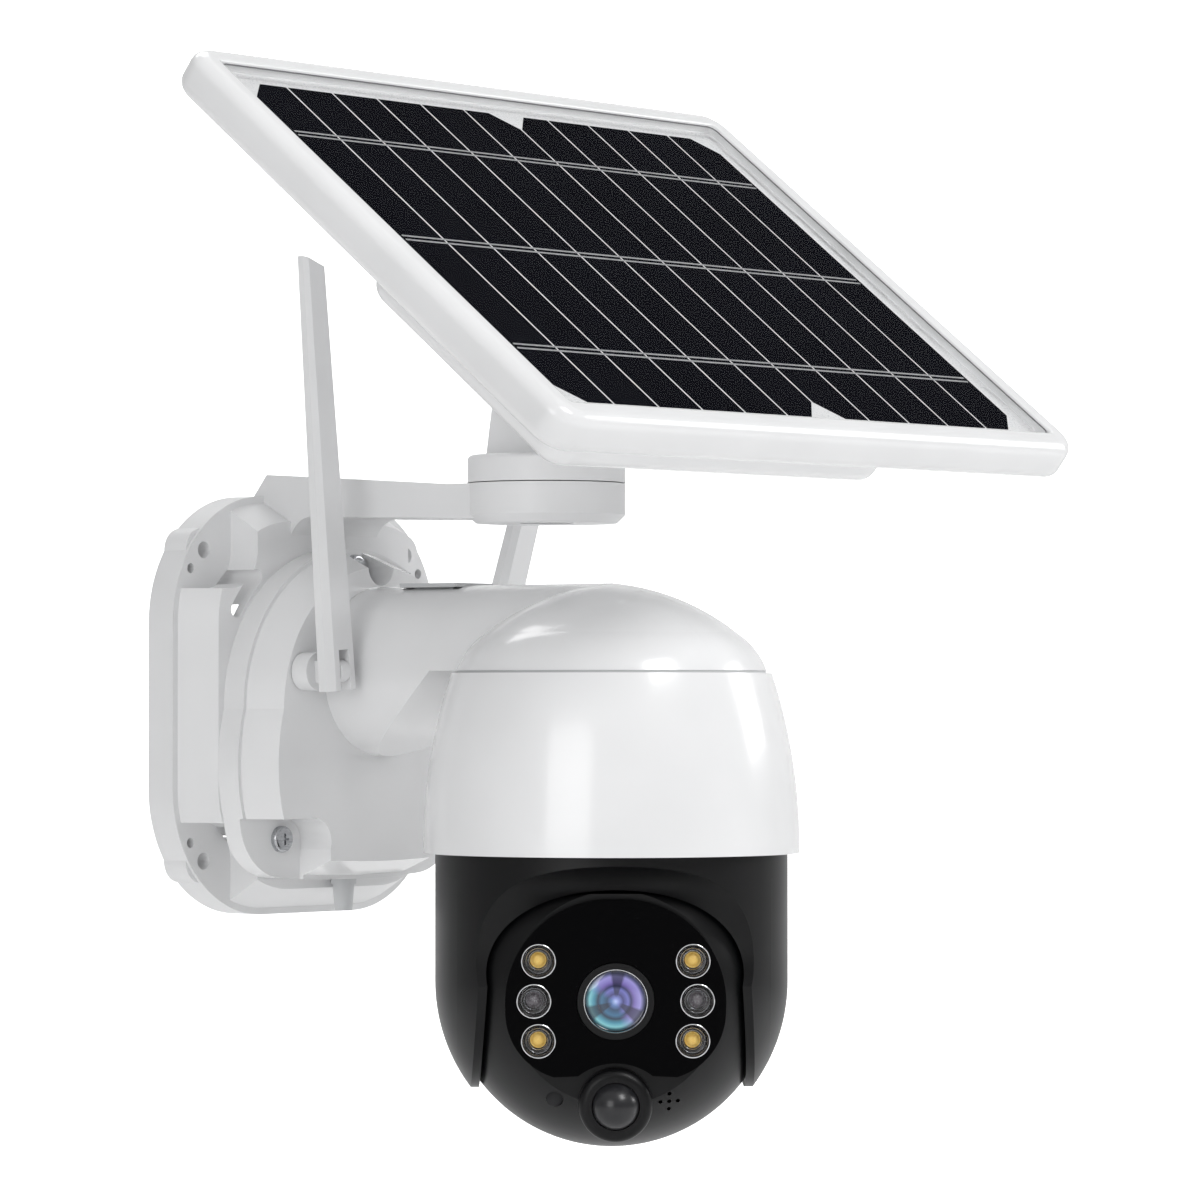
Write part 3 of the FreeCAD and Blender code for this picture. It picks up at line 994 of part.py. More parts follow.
def antenna(side, sign, lean):
    """One antenna: a fixed threaded socket, a collar that turns on it, and a blade that folds."""
    knuckle = FreeCAD.Placement(V(sign * value("antenna_x"), -value("knuckle_y"), value("antenna_z")),
                                FreeCAD.Rotation(V(0, 1, 0), sign * value(lean)))
    reach = "knuckle_y - hub_front"
    collar = cylinder(f"{side}_collar_round", "collar_radius", f"{reach} - 4.6", ("0", f"{reach} - 0.3", "0"), "-y")
    bore = cylinder(f"{side}_collar_bore", "3.26", "6", ("0", f"{reach} + 1", "0"), "-y")
    tongue = box(f"{side}_tongue", "3.6", "9.6", "6.4", ("0", "1.5", "0"))
    tip = cylinder(f"{side}_tongue_tip", "3.2", "3.6", ("-1.8", "-3.3", "0"), "x")
    hole = cylinder(f"{side}_tongue_hole", "1.26", "9", ("-4.5", "-2.4", "0"), "x")
    finish(cut(f"{side}_collar_cut", fuse(f"{side}_collar_blank", collar, tongue, tip), bore, hole),
           f"{side}_antenna_collar", knuckle)
    blade = DOC.addObject("Part::Feature", f"{side}_blade_bar")
    bar = blade_shape()
    bar.translate(V(0, -2.4, 0))
    room = Part.makeBox(4.2, 12, 20, V(-2.1, -6.5, -10))
    round_room = Part.makeCylinder(4.3, 4.2, V(-2.1, -2.4, 0), V(1, 0, 0))
    pin = Part.makeCylinder(1.2, 8, V(-4, -2.4, 0), V(1, 0, 0))
    lower = Part.makeBox(4.2, 14, 14, V(-2.1, -3.2, -10))
    slot = Part.makeBox(4.2, 14, 16.4, V(-2.1, -7.6, -10))
    blade.Shape = bar.cut(slot).fuse(pin).removeSplitter()
    finish(blade, f"{side}_antenna_blade", knuckle)


def antenna_sockets():
    sockets = []
    for sign in (-1, 1):
        name = f"socket_{sign + 1}"
        at = f"{sign} * antenna_x"
        thread = cylinder(name + "_thread", "3.2", "8.4", (at, "-hub_front + 3.4", "antenna_z"), "-y")
        sockets.append(thread)
    finish(group("antenna_sockets", *sockets), "antenna_sockets")


# ---- checks and files ----

def check_and_write():
    DOC.recompute()
    for obj in DOC.Objects:
        bad = [state for state in obj.State if state in ("Invalid", "Error")]
        if bad:
            raise RuntimeError(f"{obj.Label}: {bad}")
    os.makedirs("parts", exist_ok=True)
    for old in os.listdir("parts"):
        if old.endswith(".step"):
            os.remove(os.path.join("parts", old))
    for obj in PARTS:
        shape = obj.Shape
        if shape.isNull() or not shape.isValid() or not shape.Solids:
            raise RuntimeError(obj.Label + ": bad shape")
        shape.exportStep(os.path.join("parts", obj.Label + ".step"))
        print(f"{obj.Label:24s} solids {len(shape.Solids)} volume {shape.Volume:10.1f}")
    print(len(PARTS), "sub-parts")


wall_bracket()
panel_swivel()
swivel_fastenings()
solar_frame()
solar_laminate()
solar_cells()
cell_ribbons()
battery_box()
tilt_bracket()
BOX_SCREWS = battery_pack()
finish(group("box_screws", *BOX_SCREWS), "box_screws", PANEL)
arm_housing()
base_lid()
base_fittings()
dome_parts()
drives()
yoke_parts()
camera_shells()
face_plate()
optics()
antenna_sockets()
antenna("left", -1, "left_lean")
antenna("right", 1, "right_lean")
check_and_write()
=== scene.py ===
"""Looks of a wall-mounted solar camera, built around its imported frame.

Lengths are in metres and every piece lies in the frame's own axes: +Z up and -Y away from the wall.
"""

import logging
import math
from dataclasses import dataclass, field
from enum import Enum
from typing import Optional, Union

import bpy
import numpy as np
from mathutils import Matrix, Vector


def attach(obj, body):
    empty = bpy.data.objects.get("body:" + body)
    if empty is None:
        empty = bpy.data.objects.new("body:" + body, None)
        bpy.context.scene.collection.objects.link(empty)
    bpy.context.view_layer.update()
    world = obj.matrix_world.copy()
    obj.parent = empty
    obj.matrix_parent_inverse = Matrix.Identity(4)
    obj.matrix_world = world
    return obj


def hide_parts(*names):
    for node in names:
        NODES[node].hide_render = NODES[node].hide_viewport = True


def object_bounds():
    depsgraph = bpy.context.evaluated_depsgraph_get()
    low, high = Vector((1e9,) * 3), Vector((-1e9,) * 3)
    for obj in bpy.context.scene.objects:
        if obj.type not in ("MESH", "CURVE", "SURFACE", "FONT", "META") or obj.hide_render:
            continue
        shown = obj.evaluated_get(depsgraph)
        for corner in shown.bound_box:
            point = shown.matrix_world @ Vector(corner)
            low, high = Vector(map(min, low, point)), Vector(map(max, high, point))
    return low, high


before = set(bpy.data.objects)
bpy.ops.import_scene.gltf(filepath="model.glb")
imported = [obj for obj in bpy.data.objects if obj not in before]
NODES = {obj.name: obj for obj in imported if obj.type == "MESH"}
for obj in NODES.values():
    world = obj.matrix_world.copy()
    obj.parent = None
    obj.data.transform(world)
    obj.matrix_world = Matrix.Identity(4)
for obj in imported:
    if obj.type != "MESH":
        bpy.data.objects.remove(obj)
CAD_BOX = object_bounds()
LOG = logging.getLogger("solar_camera")
MM = 0.001

Socket = bpy.types.NodeSocket
Term = Union[float, Socket]
Colour = Union[tuple, Socket]


class Body(Enum):
    """The moving bodies that new pieces ride on."""

    PANEL = "panel"
    CAMERA = "camera"


# ---- shader effects ----


def new_group(name: str, inputs: list, outputs: list) -> bpy.types.NodeTree:
    """Make an empty shader node group.

    Args:
        name: the group's name.
        inputs: (socket name, socket type, default) for each input.
        outputs: (socket name, socket type) for each output.

    Returns:
        The group, with its input and output nodes in it.
    """
    group = bpy.data.node_groups.new(name, "ShaderNodeTree")
    for label, kind, default in inputs:
        socket = group.interface.new_socket(label, in_out="INPUT", socket_type=kind)
        socket.default_value = default
    for label, kind in outputs:
        group.interface.new_socket(label, in_out="OUTPUT", socket_type=kind)
    group.nodes.new("NodeGroupInput").name = "In"
    group.nodes.new("NodeGroupOutput").name = "Out"
    return group


class Graph:
    """Adds and joins nodes in one node tree."""

    def __init__(self, tree: bpy.types.NodeTree) -> None:
        """Keep the tree that the nodes go in."""
        self.tree = tree

    def add(self, kind: str, **settings) -> bpy.types.Node:
        """Add a node and set its attributes.

        Args:
            kind: the node's type, without the ShaderNode at its front.
            settings: attribute names and values.

        Returns:
            The new node.
        """
        node = self.tree.nodes.new("ShaderNode" + kind)
        for key, setting in settings.items():
            setattr(node, key, setting)
        return node

    def join(self, source: Socket, target: Socket) -> None:
        """Link one socket to another."""
        self.tree.links.new(source, target)

    def math(self, operation: str, *terms: Term) -> Socket:
        """Put a Math node over numbers or sockets.

        Args:
            operation: the Math node's operation.
            terms: numbers or output sockets.

        Returns:
            The node's result.
        """
        node = self.add("Math", operation=operation)
        for slot, term in zip(node.inputs, terms):
            if isinstance(term, (int, float)):
                slot.default_value = term
            else:
                self.join(term, slot)
        return node.outputs[0]

    def noise(self, scale: float, detail: float = 3.0, where: Optional[Socket] = None) -> Socket:
        """Put in a noise texture on object coordinates.

        Args:
            scale: blobs in a metre.
            detail: octaves.
            where: a vector socket to use in place of the object coordinates.

        Returns:
            The noise's value, 0 to 1.
        """
        node = self.add("TexNoise")
        node.inputs["Scale"].default_value = scale
        node.inputs["Detail"].default_value = detail
        self.join(where or self.place(), node.inputs["Vector"])
        return node.outputs["Fac"]

    def place(self) -> Socket:
        """Return the object coordinates."""
        return self.add("TexCoord").outputs["Object"]

    def ramp(self, factor: Socket, low: float, high: float, to_low: float = 0.0, to_high: float = 1.0) -> Socket:
        """Map one range of values to another, clamped.

        Args:
            factor: the socket to map.
            low: the value that gives to_low.
            high: the value that gives to_high.
            to_low: first end of the result.
            to_high: other end of the result.

        Returns:
            The mapped value's socket.
        """
        node = self.add("MapRange")
        ends = {"From Min": low, "From Max": high, "To Min": to_low, "To Max": to_high}
        for label, number in ends.items():
            node.inputs[label].default_value = number
        self.join(factor, node.inputs["Value"])
        return node.outputs["Result"]

    def mix(self, factor: Term, one: Colour, other: Colour) -> Socket:
        """Blend two colours.

        Args:
            factor: number or socket, 0 for the first colour.
            one: RGB tuple or colour socket.
            other: RGB tuple or colour socket.

        Returns:
            The blended colour's socket.
        """
        node = self.add("Mix", data_type="RGBA")
        factor_in, one_in, other_in = node.inputs["Factor"], node.inputs[6], node.inputs[7]
        for slot, term in ((factor_in, factor), (one_in, one), (other_in, other)):
            if isinstance(term, (int, float)):
                slot.default_value = term
            elif isinstance(term, tuple):
                slot.default_value = (*term, 1.0)
            else:
                self.join(term, slot)
        return node.outputs[2]


def moulded_grain() -> bpy.types.NodeTree:
    """Fine spark-eroded grain and slow shade drift of moulded plastic.

    Returns:
        A group: Scale in; Height and Drift out.
    """
    group = new_group("moulded_grain", [("Scale", "NodeSocketFloat", 1.0)],
                      [("Height", "NodeSocketFloat"), ("Drift", "NodeSocketFloat")])
    graph = Graph(group)
    scale = group.nodes["In"].outputs["Scale"]
    fine = graph.add("TexNoise")
    fine.inputs["Detail"].default_value = 4.0
    graph.join(graph.place(), fine.inputs["Vector"])
    graph.join(graph.math("MULTIPLY", scale, 2600.0), fine.inputs["Scale"])
    pits = graph.add("TexVoronoi", feature="SMOOTH_F1")
    graph.join(graph.place(), pits.inputs["Vector"])
    graph.join(graph.math("MULTIPLY", scale, 1700.0), pits.inputs["Scale"])
    height = graph.math("ADD", fine.outputs["Fac"], graph.math("MULTIPLY", pits.outputs["Distance"], 0.6))
    graph.join(height, group.nodes["Out"].inputs["Height"])
    graph.join(graph.noise(22.0, 2.0), group.nodes["Out"].inputs["Drift"])
    return group


def settled_dust() -> bpy.types.NodeTree:
    """Thin uneven dust on faces that look up.

    Returns:
        A group: Amount in; Mask out.
    """
    group = new_group("settled_dust", [("Amount", "NodeSocketFloat", 0.1)], [("Mask", "NodeSocketFloat")])
    graph = Graph(group)
    split = graph.add("SeparateXYZ")
    graph.join(graph.add("NewGeometry").outputs["Normal"], split.inputs[0])
    up = graph.ramp(split.outputs["Z"], 0.3, 1.0)
    patchy = graph.ramp(graph.noise(160.0, 6.0), 0.42, 0.75)
    mask = graph.math("MULTIPLY", graph.math("MULTIPLY", up, patchy), group.nodes["In"].outputs["Amount"])
    graph.join(mask, group.nodes["Out"].inputs["Mask"])
    return group


def fine_lines() -> bpy.types.NodeTree:
    """Even thin lines across a coordinate.

    Returns:
        A group: Position, Pitch and Width in metres in; Mask out, 1 on a line.
    """
    inputs = [("Position", "NodeSocketFloat", 0.0), ("Pitch", "NodeSocketFloat", 0.001),
              ("Width", "NodeSocketFloat", 0.0001)]
    group = new_group("fine_lines", inputs, [("Mask", "NodeSocketFloat")])
    graph = Graph(group)
    start = group.nodes["In"].outputs
    turns = graph.math("FRACT", graph.math("DIVIDE", start["Position"], start["Pitch"]))
    away = graph.math("ABSOLUTE", graph.math("SUBTRACT", turns, 0.5))
    share = graph.math("DIVIDE", start["Width"], graph.math("MULTIPLY", start["Pitch"], 2.0))
    graph.join(graph.math("LESS_THAN", away, share), group.nodes["Out"].inputs["Mask"])
    return group


GRAIN = moulded_grain()
DUST = settled_dust()
LINES = fine_lines()


def put(graph: Graph, group: bpy.types.NodeTree, **inputs: Term) -> bpy.types.Node:
    """Place an effect group in a material.

    Args:
        graph: the material's graph.
        group: the effect.
        inputs: numbers or sockets for its inputs.

    Returns:
        The group node.
    """
    node = graph.add("Group")
    node.node_tree = group
    for label, term in inputs.items():
        if isinstance(term, (int, float)):
            node.inputs[label].default_value = term
        else:
            graph.join(term, node.inputs[label])
    return node


# ---- finishes ----


@dataclass(frozen=True)
class Finish:
    """A named material that builds itself once."""

    name: str

    def material(self) -> bpy.types.Material:
        """Return the finish's material, made on first use."""
        label = self.name + "_finish"
        made = bpy.data.materials.get(label)
        if made:
            return made
        made = bpy.data.materials.new(label)
        made.use_nodes = True
        made.node_tree.nodes.clear()
        graph = Graph(made.node_tree)
        shader = graph.add("BsdfPrincipled")
        graph.join(shader.outputs[0], graph.add("OutputMaterial").inputs["Surface"])
        self.paint(graph, shader)
        return made

    def paint(self, graph: Graph, shader: bpy.types.Node) -> None:
        """Fill in the shader; each finish has its own."""
        raise NotImplementedError

    def bump(self, graph: Graph, shader: bpy.types.Node, height: Socket, depth: float,
             strength: float = 1.0) -> None:
        """Drive the shader's normal from a height.

        Args:
            graph: the material's graph.
            shader: its Principled shader.
            height: the height socket.
            depth: metres from low to high.
            strength: the Bump node's strength.
        """
        node = graph.add("Bump")
        node.inputs["Strength"].default_value = strength
        node.inputs["Distance"].default_value = depth
        graph.join(height, node.inputs["Height"])
        graph.join(node.outputs[0], shader.inputs["Normal"])


@dataclass(frozen=True)
class Moulded(Finish):
    """Injection-moulded plastic with grain, drift of shade and a little dust."""

    colour: tuple
    roughness: float = 0.35
    grain: float = 1.0
    depth: float = 0.00001
    coat: float = 0.0
    dust: float = 0.06
    gloss: float = 0.5
    dust_colour: tuple = (0.62, 0.60, 0.56)

    def paint(self, graph: Graph, shader: bpy.types.Node) -> None:
        """Colour drifts by a few hundredths; roughness follows the grain."""
        grain = put(graph, GRAIN, Scale=self.grain)
        darker = tuple(c * 0.93 for c in self.colour)
        shade = graph.mix(graph.ramp(grain.outputs["Drift"], 0.3, 0.7), darker, self.colour)
        dust = put(graph, DUST, Amount=self.dust)
        graph.join(graph.mix(dust.outputs["Mask"], shade, self.dust_colour), shader.inputs["Base Color"])
        rough = graph.ramp(grain.outputs["Drift"], 0.2, 0.8, self.roughness * 0.85, self.roughness * 1.15)
        graph.join(graph.math("ADD", rough, graph.math("MULTIPLY", dust.outputs["Mask"], 0.5)),
                   shader.inputs["Roughness"])
        shader.inputs["Specular IOR Level"].default_value = self.gloss
        shader.inputs["Coat Weight"].default_value = self.coat
        shader.inputs["Coat Roughness"].default_value = 0.08
        self.bump(graph, shader, grain.outputs["Height"], self.depth, 0.6)


@dataclass(frozen=True)
class Metal(Finish):
    """Bare or plated metal with turned streaks."""

    colour: tuple
    roughness: float = 0.25
    streak: float = 900.0

    def paint(self, graph: Graph, shader: bpy.types.Node) -> None:
        """Streaks change the roughness and the height a little."""
        stretch = graph.add("Mapping")
        stretch.inputs["Scale"].default_value = (0.12, 1.0, 1.0)
        graph.join(graph.place(), stretch.inputs["Vector"])
        streaks = graph.noise(self.streak, 5.0, stretch.outputs[0])
        worn = tuple(c * 0.8 for c in self.colour)
        graph.join(graph.mix(graph.ramp(streaks, 0.35, 0.65), worn, self.colour), shader.inputs["Base Color"])
        graph.join(graph.ramp(streaks, 0.3, 0.7, self.roughness * 0.7, self.roughness * 1.3),
                   shader.inputs["Roughness"])
        shader.inputs["Metallic"].default_value = 1.0
        self.bump(graph, shader, streaks, 0.000006, 0.5)


@dataclass(frozen=True)
class Silicon(Finish):
    """Near-black solar cell with printed silver fingers and a fine woven texture."""

    tilt: float
    centre: tuple
    colour: tuple = (0.0025, 0.0027, 0.0042)
    line_colour: tuple = (0.032, 0.033, 0.038)
    finger_pitch: float = 0.00125
    finger_width: float = 0.00010
    crossing_pitch: float = 0.0016
    crossing_width: float = 0.00016

    def paint(self, graph: Graph, shader: bpy.types.Node) -> None:
        """Fingers are thin lines at an even pitch up and across the cell."""
        laid = graph.add("Mapping", vector_type="TEXTURE")
        laid.inputs["Location"].default_value = self.centre
        laid.inputs["Rotation"].default_value = (self.tilt, 0.0, 0.0)
        graph.join(graph.place(), laid.inputs["Vector"])
        split = graph.add("SeparateXYZ")
        graph.join(laid.outputs[0], split.inputs[0])
        fingers = put(graph, LINES, Position=split.outputs["X"], Pitch=self.finger_pitch,
                      Width=self.finger_width)
        crossing = put(graph, LINES, Position=split.outputs["Y"], Pitch=self.crossing_pitch,
                       Width=self.crossing_width)
        crystal = graph.ramp(graph.noise(3200.0, 4.0), 0.3, 0.7, 0.75, 1.35)
        tint = graph.mix(graph.noise(30.0, 2.0), self.colour, tuple(c * 1.9 for c in self.colour))
        lines = graph.math("MAXIMUM", graph.math("MULTIPLY", fingers.outputs["Mask"], 0.55),
                           graph.math("MULTIPLY", crossing.outputs["Mask"], 0.32))
        lines = graph.math("MULTIPLY", lines, crystal)
        graph.join(graph.mix(lines, tint, self.line_colour), shader.inputs["Base Color"])
        graph.join(graph.ramp(graph.noise(900.0, 3.0), 0.3, 0.7, 0.40, 0.52), shader.inputs["Roughness"])
        shader.inputs["Specular IOR Level"].default_value = 0.0


@dataclass(frozen=True)
class Speckled(Finish):
    """Pale laminate or circuit board with fine specks."""

    colour: tuple
    speck: tuple
    scale: float = 2600.0
    roughness: float = 0.45
    share: float = 0.62

    def paint(self, graph: Graph, shader: bpy.types.Node) -> None:
        """Specks show where fine noise passes a level."""
        grain = graph.noise(self.scale, 2.0)
        specks = graph.ramp(grain, self.share, self.share + 0.06)
        slow = graph.mix(graph.noise(90.0, 3.0), self.colour, tuple(c * 0.9 for c in self.colour))
        graph.join(graph.mix(specks, slow, self.speck), shader.inputs["Base Color"])
        graph.join(graph.ramp(grain, 0.3, 0.7, self.roughness * 0.8, self.roughness * 1.2),
                   shader.inputs["Roughness"])
        self.bump(graph, shader, grain, 0.00001, 0.15)


@dataclass(frozen=True)
class ClearPane(Finish):
    """Clear tempered glass or a clear resin that lets light through to what is under it."""

    colour: tuple = (0.97, 0.98, 0.98)
    roughness: float = 0.03
    bend: float = 1.45

    def paint(self, graph: Graph, shader: bpy.types.Node) -> None:
        """Glass for seen rays, and plain see-through for shadow and bounced ones."""
        waves = graph.noise(9.0, 1.0)
        duller = tuple(c * 0.985 for c in self.colour)
        graph.join(graph.mix(waves, self.colour, duller), shader.inputs["Base Color"])
        graph.join(graph.ramp(graph.noise(240.0, 4.0), 0.4, 0.8, self.roughness * 0.6, self.roughness * 1.8),
                   shader.inputs["Roughness"])
        shader.inputs["Transmission Weight"].default_value = 1.0
        shader.inputs["IOR"].default_value = self.bend
        self.bump(graph, shader, waves, 0.00002, 0.3)
        clear = graph.add("BsdfTransparent")
        light = graph.add("LightPath")
        either = graph.add("MixShader")
        out = next(n for n in graph.tree.nodes if n.type == "OUTPUT_MATERIAL")
        through = graph.math("MAXIMUM", light.outputs["Is Shadow Ray"], light.outputs["Is Diffuse Ray"])
        graph.join(through, either.inputs[0])
        graph.join(shader.outputs[0], either.inputs[1])
        graph.join(clear.outputs[0], either.inputs[2])
        graph.join(either.outputs[0], out.inputs["Surface"])


# Rings of colour on the front element: the coating's violet and blue tint with painted reflections of the inner
# elements, and a painted glint at the pale middle stop.
VIOLET_REFLECTION_RINGS = ((0.0, (0.50, 0.60, 0.95)), (0.12, (0.20, 0.24, 0.62)), (0.24, (0.05, 0.05, 0.20)),
                (0.40, (0.16, 0.17, 0.52)), (0.50, (0.03, 0.03, 0.12)), (0.62, (0.22, 0.17, 0.50)),
                (0.80, (0.36, 0.33, 0.72)), (0.90, (0.08, 0.09, 0.22)), (1.0, (0.006, 0.006, 0.010)))
TEAL_REFLECTION_RINGS = ((0.0, (0.50, 0.62, 0.95)), (0.14, (0.12, 0.22, 0.50)), (0.28, (0.02, 0.06, 0.14)),
              (0.46, (0.04, 0.16, 0.30)), (0.58, (0.01, 0.03, 0.07)), (0.72, (0.06, 0.30, 0.42)),
              (0.84, (0.22, 0.60, 0.66)), (0.92, (0.03, 0.14, 0.18)), (1.0, (0.006, 0.006, 0.010)))


@dataclass(frozen=True)
class CoatedLensReflections(Finish):
    """Dark coated glass whose colour holds painted reflections: rings of violet and blue round a painted glint, a
    painted teal side and painted dark wedges.
    """

    centre: tuple
    turned: tuple
    radius: float
    # angle of the painted teal reflection side, and turn and colour of the painted dark wedges
    teal_reflection_side: float = 2.4
    reflection_wedge_turn: float = 0.9
    reflection_wedge_colour: tuple = (0.01, 0.012, 0.03)

    def bands(self, graph: Graph, share: Socket, stops: tuple) -> Socket:
        """Colour rings by distance from the middle: the coating's tint with painted reflections.

        Args:
            graph: the material's graph.
            share: the distance as a share of the glass radius.
            stops: (share, colour) pairs from the middle out.

        Returns:
            The colour's socket.
        """
        ramp = graph.add("ValToRGB")
        while len(ramp.color_ramp.elements) < len(stops):
            ramp.color_ramp.elements.new(0.5)
        for element, (position, colour) in zip(ramp.color_ramp.elements, stops):
            element.position = position
            element.color = (*colour, 1.0)
        graph.join(share, ramp.inputs[0])
        return ramp.outputs[0]

    def paint(self, graph: Graph, shader: bpy.types.Node) -> None:
        """Painted reflection rings go by distance; the painted teal side and the painted dark wedges go by the angle
        round the middle.
        """
        laid = graph.add("Mapping", vector_type="TEXTURE")
        laid.inputs["Location"].default_value = self.centre
        laid.inputs["Rotation"].default_value = self.turned
        graph.join(graph.place(), laid.inputs["Vector"])
        split = graph.add("SeparateXYZ")
        graph.join(laid.outputs[0], split.inputs[0])
        x, y = split.outputs["X"], split.outputs["Y"]
        squares = graph.math("ADD", graph.math("MULTIPLY", x, x), graph.math("MULTIPLY", y, y))
        share = graph.math("DIVIDE", graph.math("SQRT", squares), self.radius)
        angle = graph.math("ARCTAN2", y, x)
        # painted reflections: violet and teal rings round a painted glint in the middle
        violet = self.bands(graph, share, VIOLET_REFLECTION_RINGS)
        teal = self.bands(graph, share, TEAL_REFLECTION_RINGS)
        # painted reflection: the teal side, set by the angle round the middle
        side = graph.ramp(graph.math("COSINE", graph.math("ADD", angle, self.teal_reflection_side)), 0.0, 0.5)
        colour = graph.mix(side, violet, teal)
        # painted dark wedges across the reflections
        swing = graph.math("ADD", graph.math("MULTIPLY", angle, 1.5), self.reflection_wedge_turn)
        wedge = graph.math("ABSOLUTE", graph.math("SINE", swing))
        dark = graph.math("MULTIPLY", graph.ramp(wedge, 0.45, 0.30), graph.ramp(share, 0.12, 0.3, 0.0, 0.75))
        graph.join(graph.mix(dark, colour, self.reflection_wedge_colour), shader.inputs["Base Color"])
        graph.join(graph.ramp(graph.noise(400.0, 2.0), 0.3, 0.7, 0.04, 0.07), shader.inputs["Roughness"])
        shader.inputs["Coat Weight"].default_value = 1.0
        shader.inputs["Coat Roughness"].default_value = 0.02


WHITE_GLOSS = Moulded("white_gloss", (0.87, 0.872, 0.878), roughness=0.20, grain=0.6, depth=0.000004,
                      coat=0.35, dust=0.04)
WHITE_SATIN = Moulded("white_satin", (0.84, 0.842, 0.848), roughness=0.42, depth=0.000012, dust=0.08)
WHITE_RUBBER = Moulded("white_rubber", (0.60, 0.61, 0.62), roughness=0.55, grain=1.2, depth=0.00002, dust=0.10)
BLACK_SATIN = Moulded("black_satin", (0.0030, 0.0030, 0.0035), roughness=0.36, dust=0.0, gloss=0.26)
BLACK_GLOSS = Moulded("black_gloss", (0.0012, 0.0012, 0.0015), roughness=0.12, grain=0.5, depth=0.000003,
                      dust=0.0, gloss=0.03)
WELL = Moulded("dark_well", (0.020, 0.019, 0.018), roughness=0.22, grain=0.6, depth=0.000004, dust=0.0)
SMOKE = Moulded("smoky_dome", (0.014, 0.014, 0.016), roughness=0.30, grain=0.8, coat=0.1, dust=0.02,
                dust_colour=(0.05, 0.05, 0.05))
RUBBER = Moulded("soft_rubber", (0.028, 0.028, 0.030), roughness=0.62, grain=1.2, depth=0.00002, dust=0.10,
                 gloss=0.3, dust_colour=(0.12, 0.12, 0.12))
SEAL = Moulded("grey_seal", (0.20, 0.20, 0.21), roughness=0.6, grain=1.2, dust=0.05, gloss=0.3,
               dust_colour=(0.3, 0.3, 0.3))
WRAP = Moulded("shrink_wrap", (0.05, 0.16, 0.45), roughness=0.18, grain=0.7, depth=0.00002, coat=0.5, dust=0.0)
ACETAL = Moulded("natural_acetal", (0.70, 0.68, 0.60), roughness=0.38, dust=0.0)
STEEL = Metal("zinc_steel", (0.56, 0.57, 0.59), roughness=0.28)
CHROME = Metal("bright_chrome", (0.80, 0.81, 0.83), roughness=0.10, streak=500.0)
BRASS = Metal("turned_brass", (0.72, 0.52, 0.24))
TINNED = Speckled("tinned_ribbon", (0.26, 0.265, 0.275), (0.42, 0.425, 0.435), scale=2400.0, roughness=0.35,
                  share=0.5)
BACKSHEET = Speckled("speckled_sheet", (0.78, 0.785, 0.79), (0.58, 0.59, 0.60), scale=1900.0, roughness=0.4,
                     share=0.56)
CIRCUIT = Speckled("solder_mask", (0.012, 0.11, 0.05), (0.45, 0.42, 0.28), scale=700.0, roughness=0.3,
                   share=0.66)
PHOSPHOR = Speckled("amber_phosphor", (0.85, 0.50, 0.08), (0.95, 0.72, 0.22), scale=3500.0, roughness=0.35,
                    share=0.5)
CHIP = Speckled("dark_chip", (0.10, 0.09, 0.10), (0.30, 0.29, 0.30), scale=3000.0, roughness=0.3, share=0.55)
PAPER = Speckled("floor_paper", (0.93, 0.93, 0.93), (0.91, 0.91, 0.91), scale=900.0, roughness=0.8, share=0.6)
PANE = ClearPane("clear_pane", (0.99, 0.99, 0.99), roughness=0.004, bend=1.02)
RESIN = ClearPane("clear_resin", (0.96, 0.96, 0.97), roughness=0.02, bend=1.18)


# ---- surfaces ----


def quads(rows: int, columns: int, wrap_rows: bool, wrap_columns: bool) -> np.ndarray:
    """Index the four corners of every cell of a grid.

    Args:
        rows: points along the first parameter.
        columns: points along the second.
        wrap_rows: the last row meets the first.
        wrap_columns: the last column meets the first.

    Returns:
        An (n, 4) array of point numbers.
    """
    i = np.arange(rows if wrap_rows else rows - 1)[:, None]
    j = np.arange(columns if wrap_columns else columns - 1)[None, :]
    i2, j2 = (i + 1) % rows, (j + 1) % columns
    corners = (i * columns + j, i * columns + j2, i2 * columns + j2, i2 * columns + j)
    return np.stack([np.broadcast_to(c, (i.size, j.size)).ravel() for c in corners], 1)


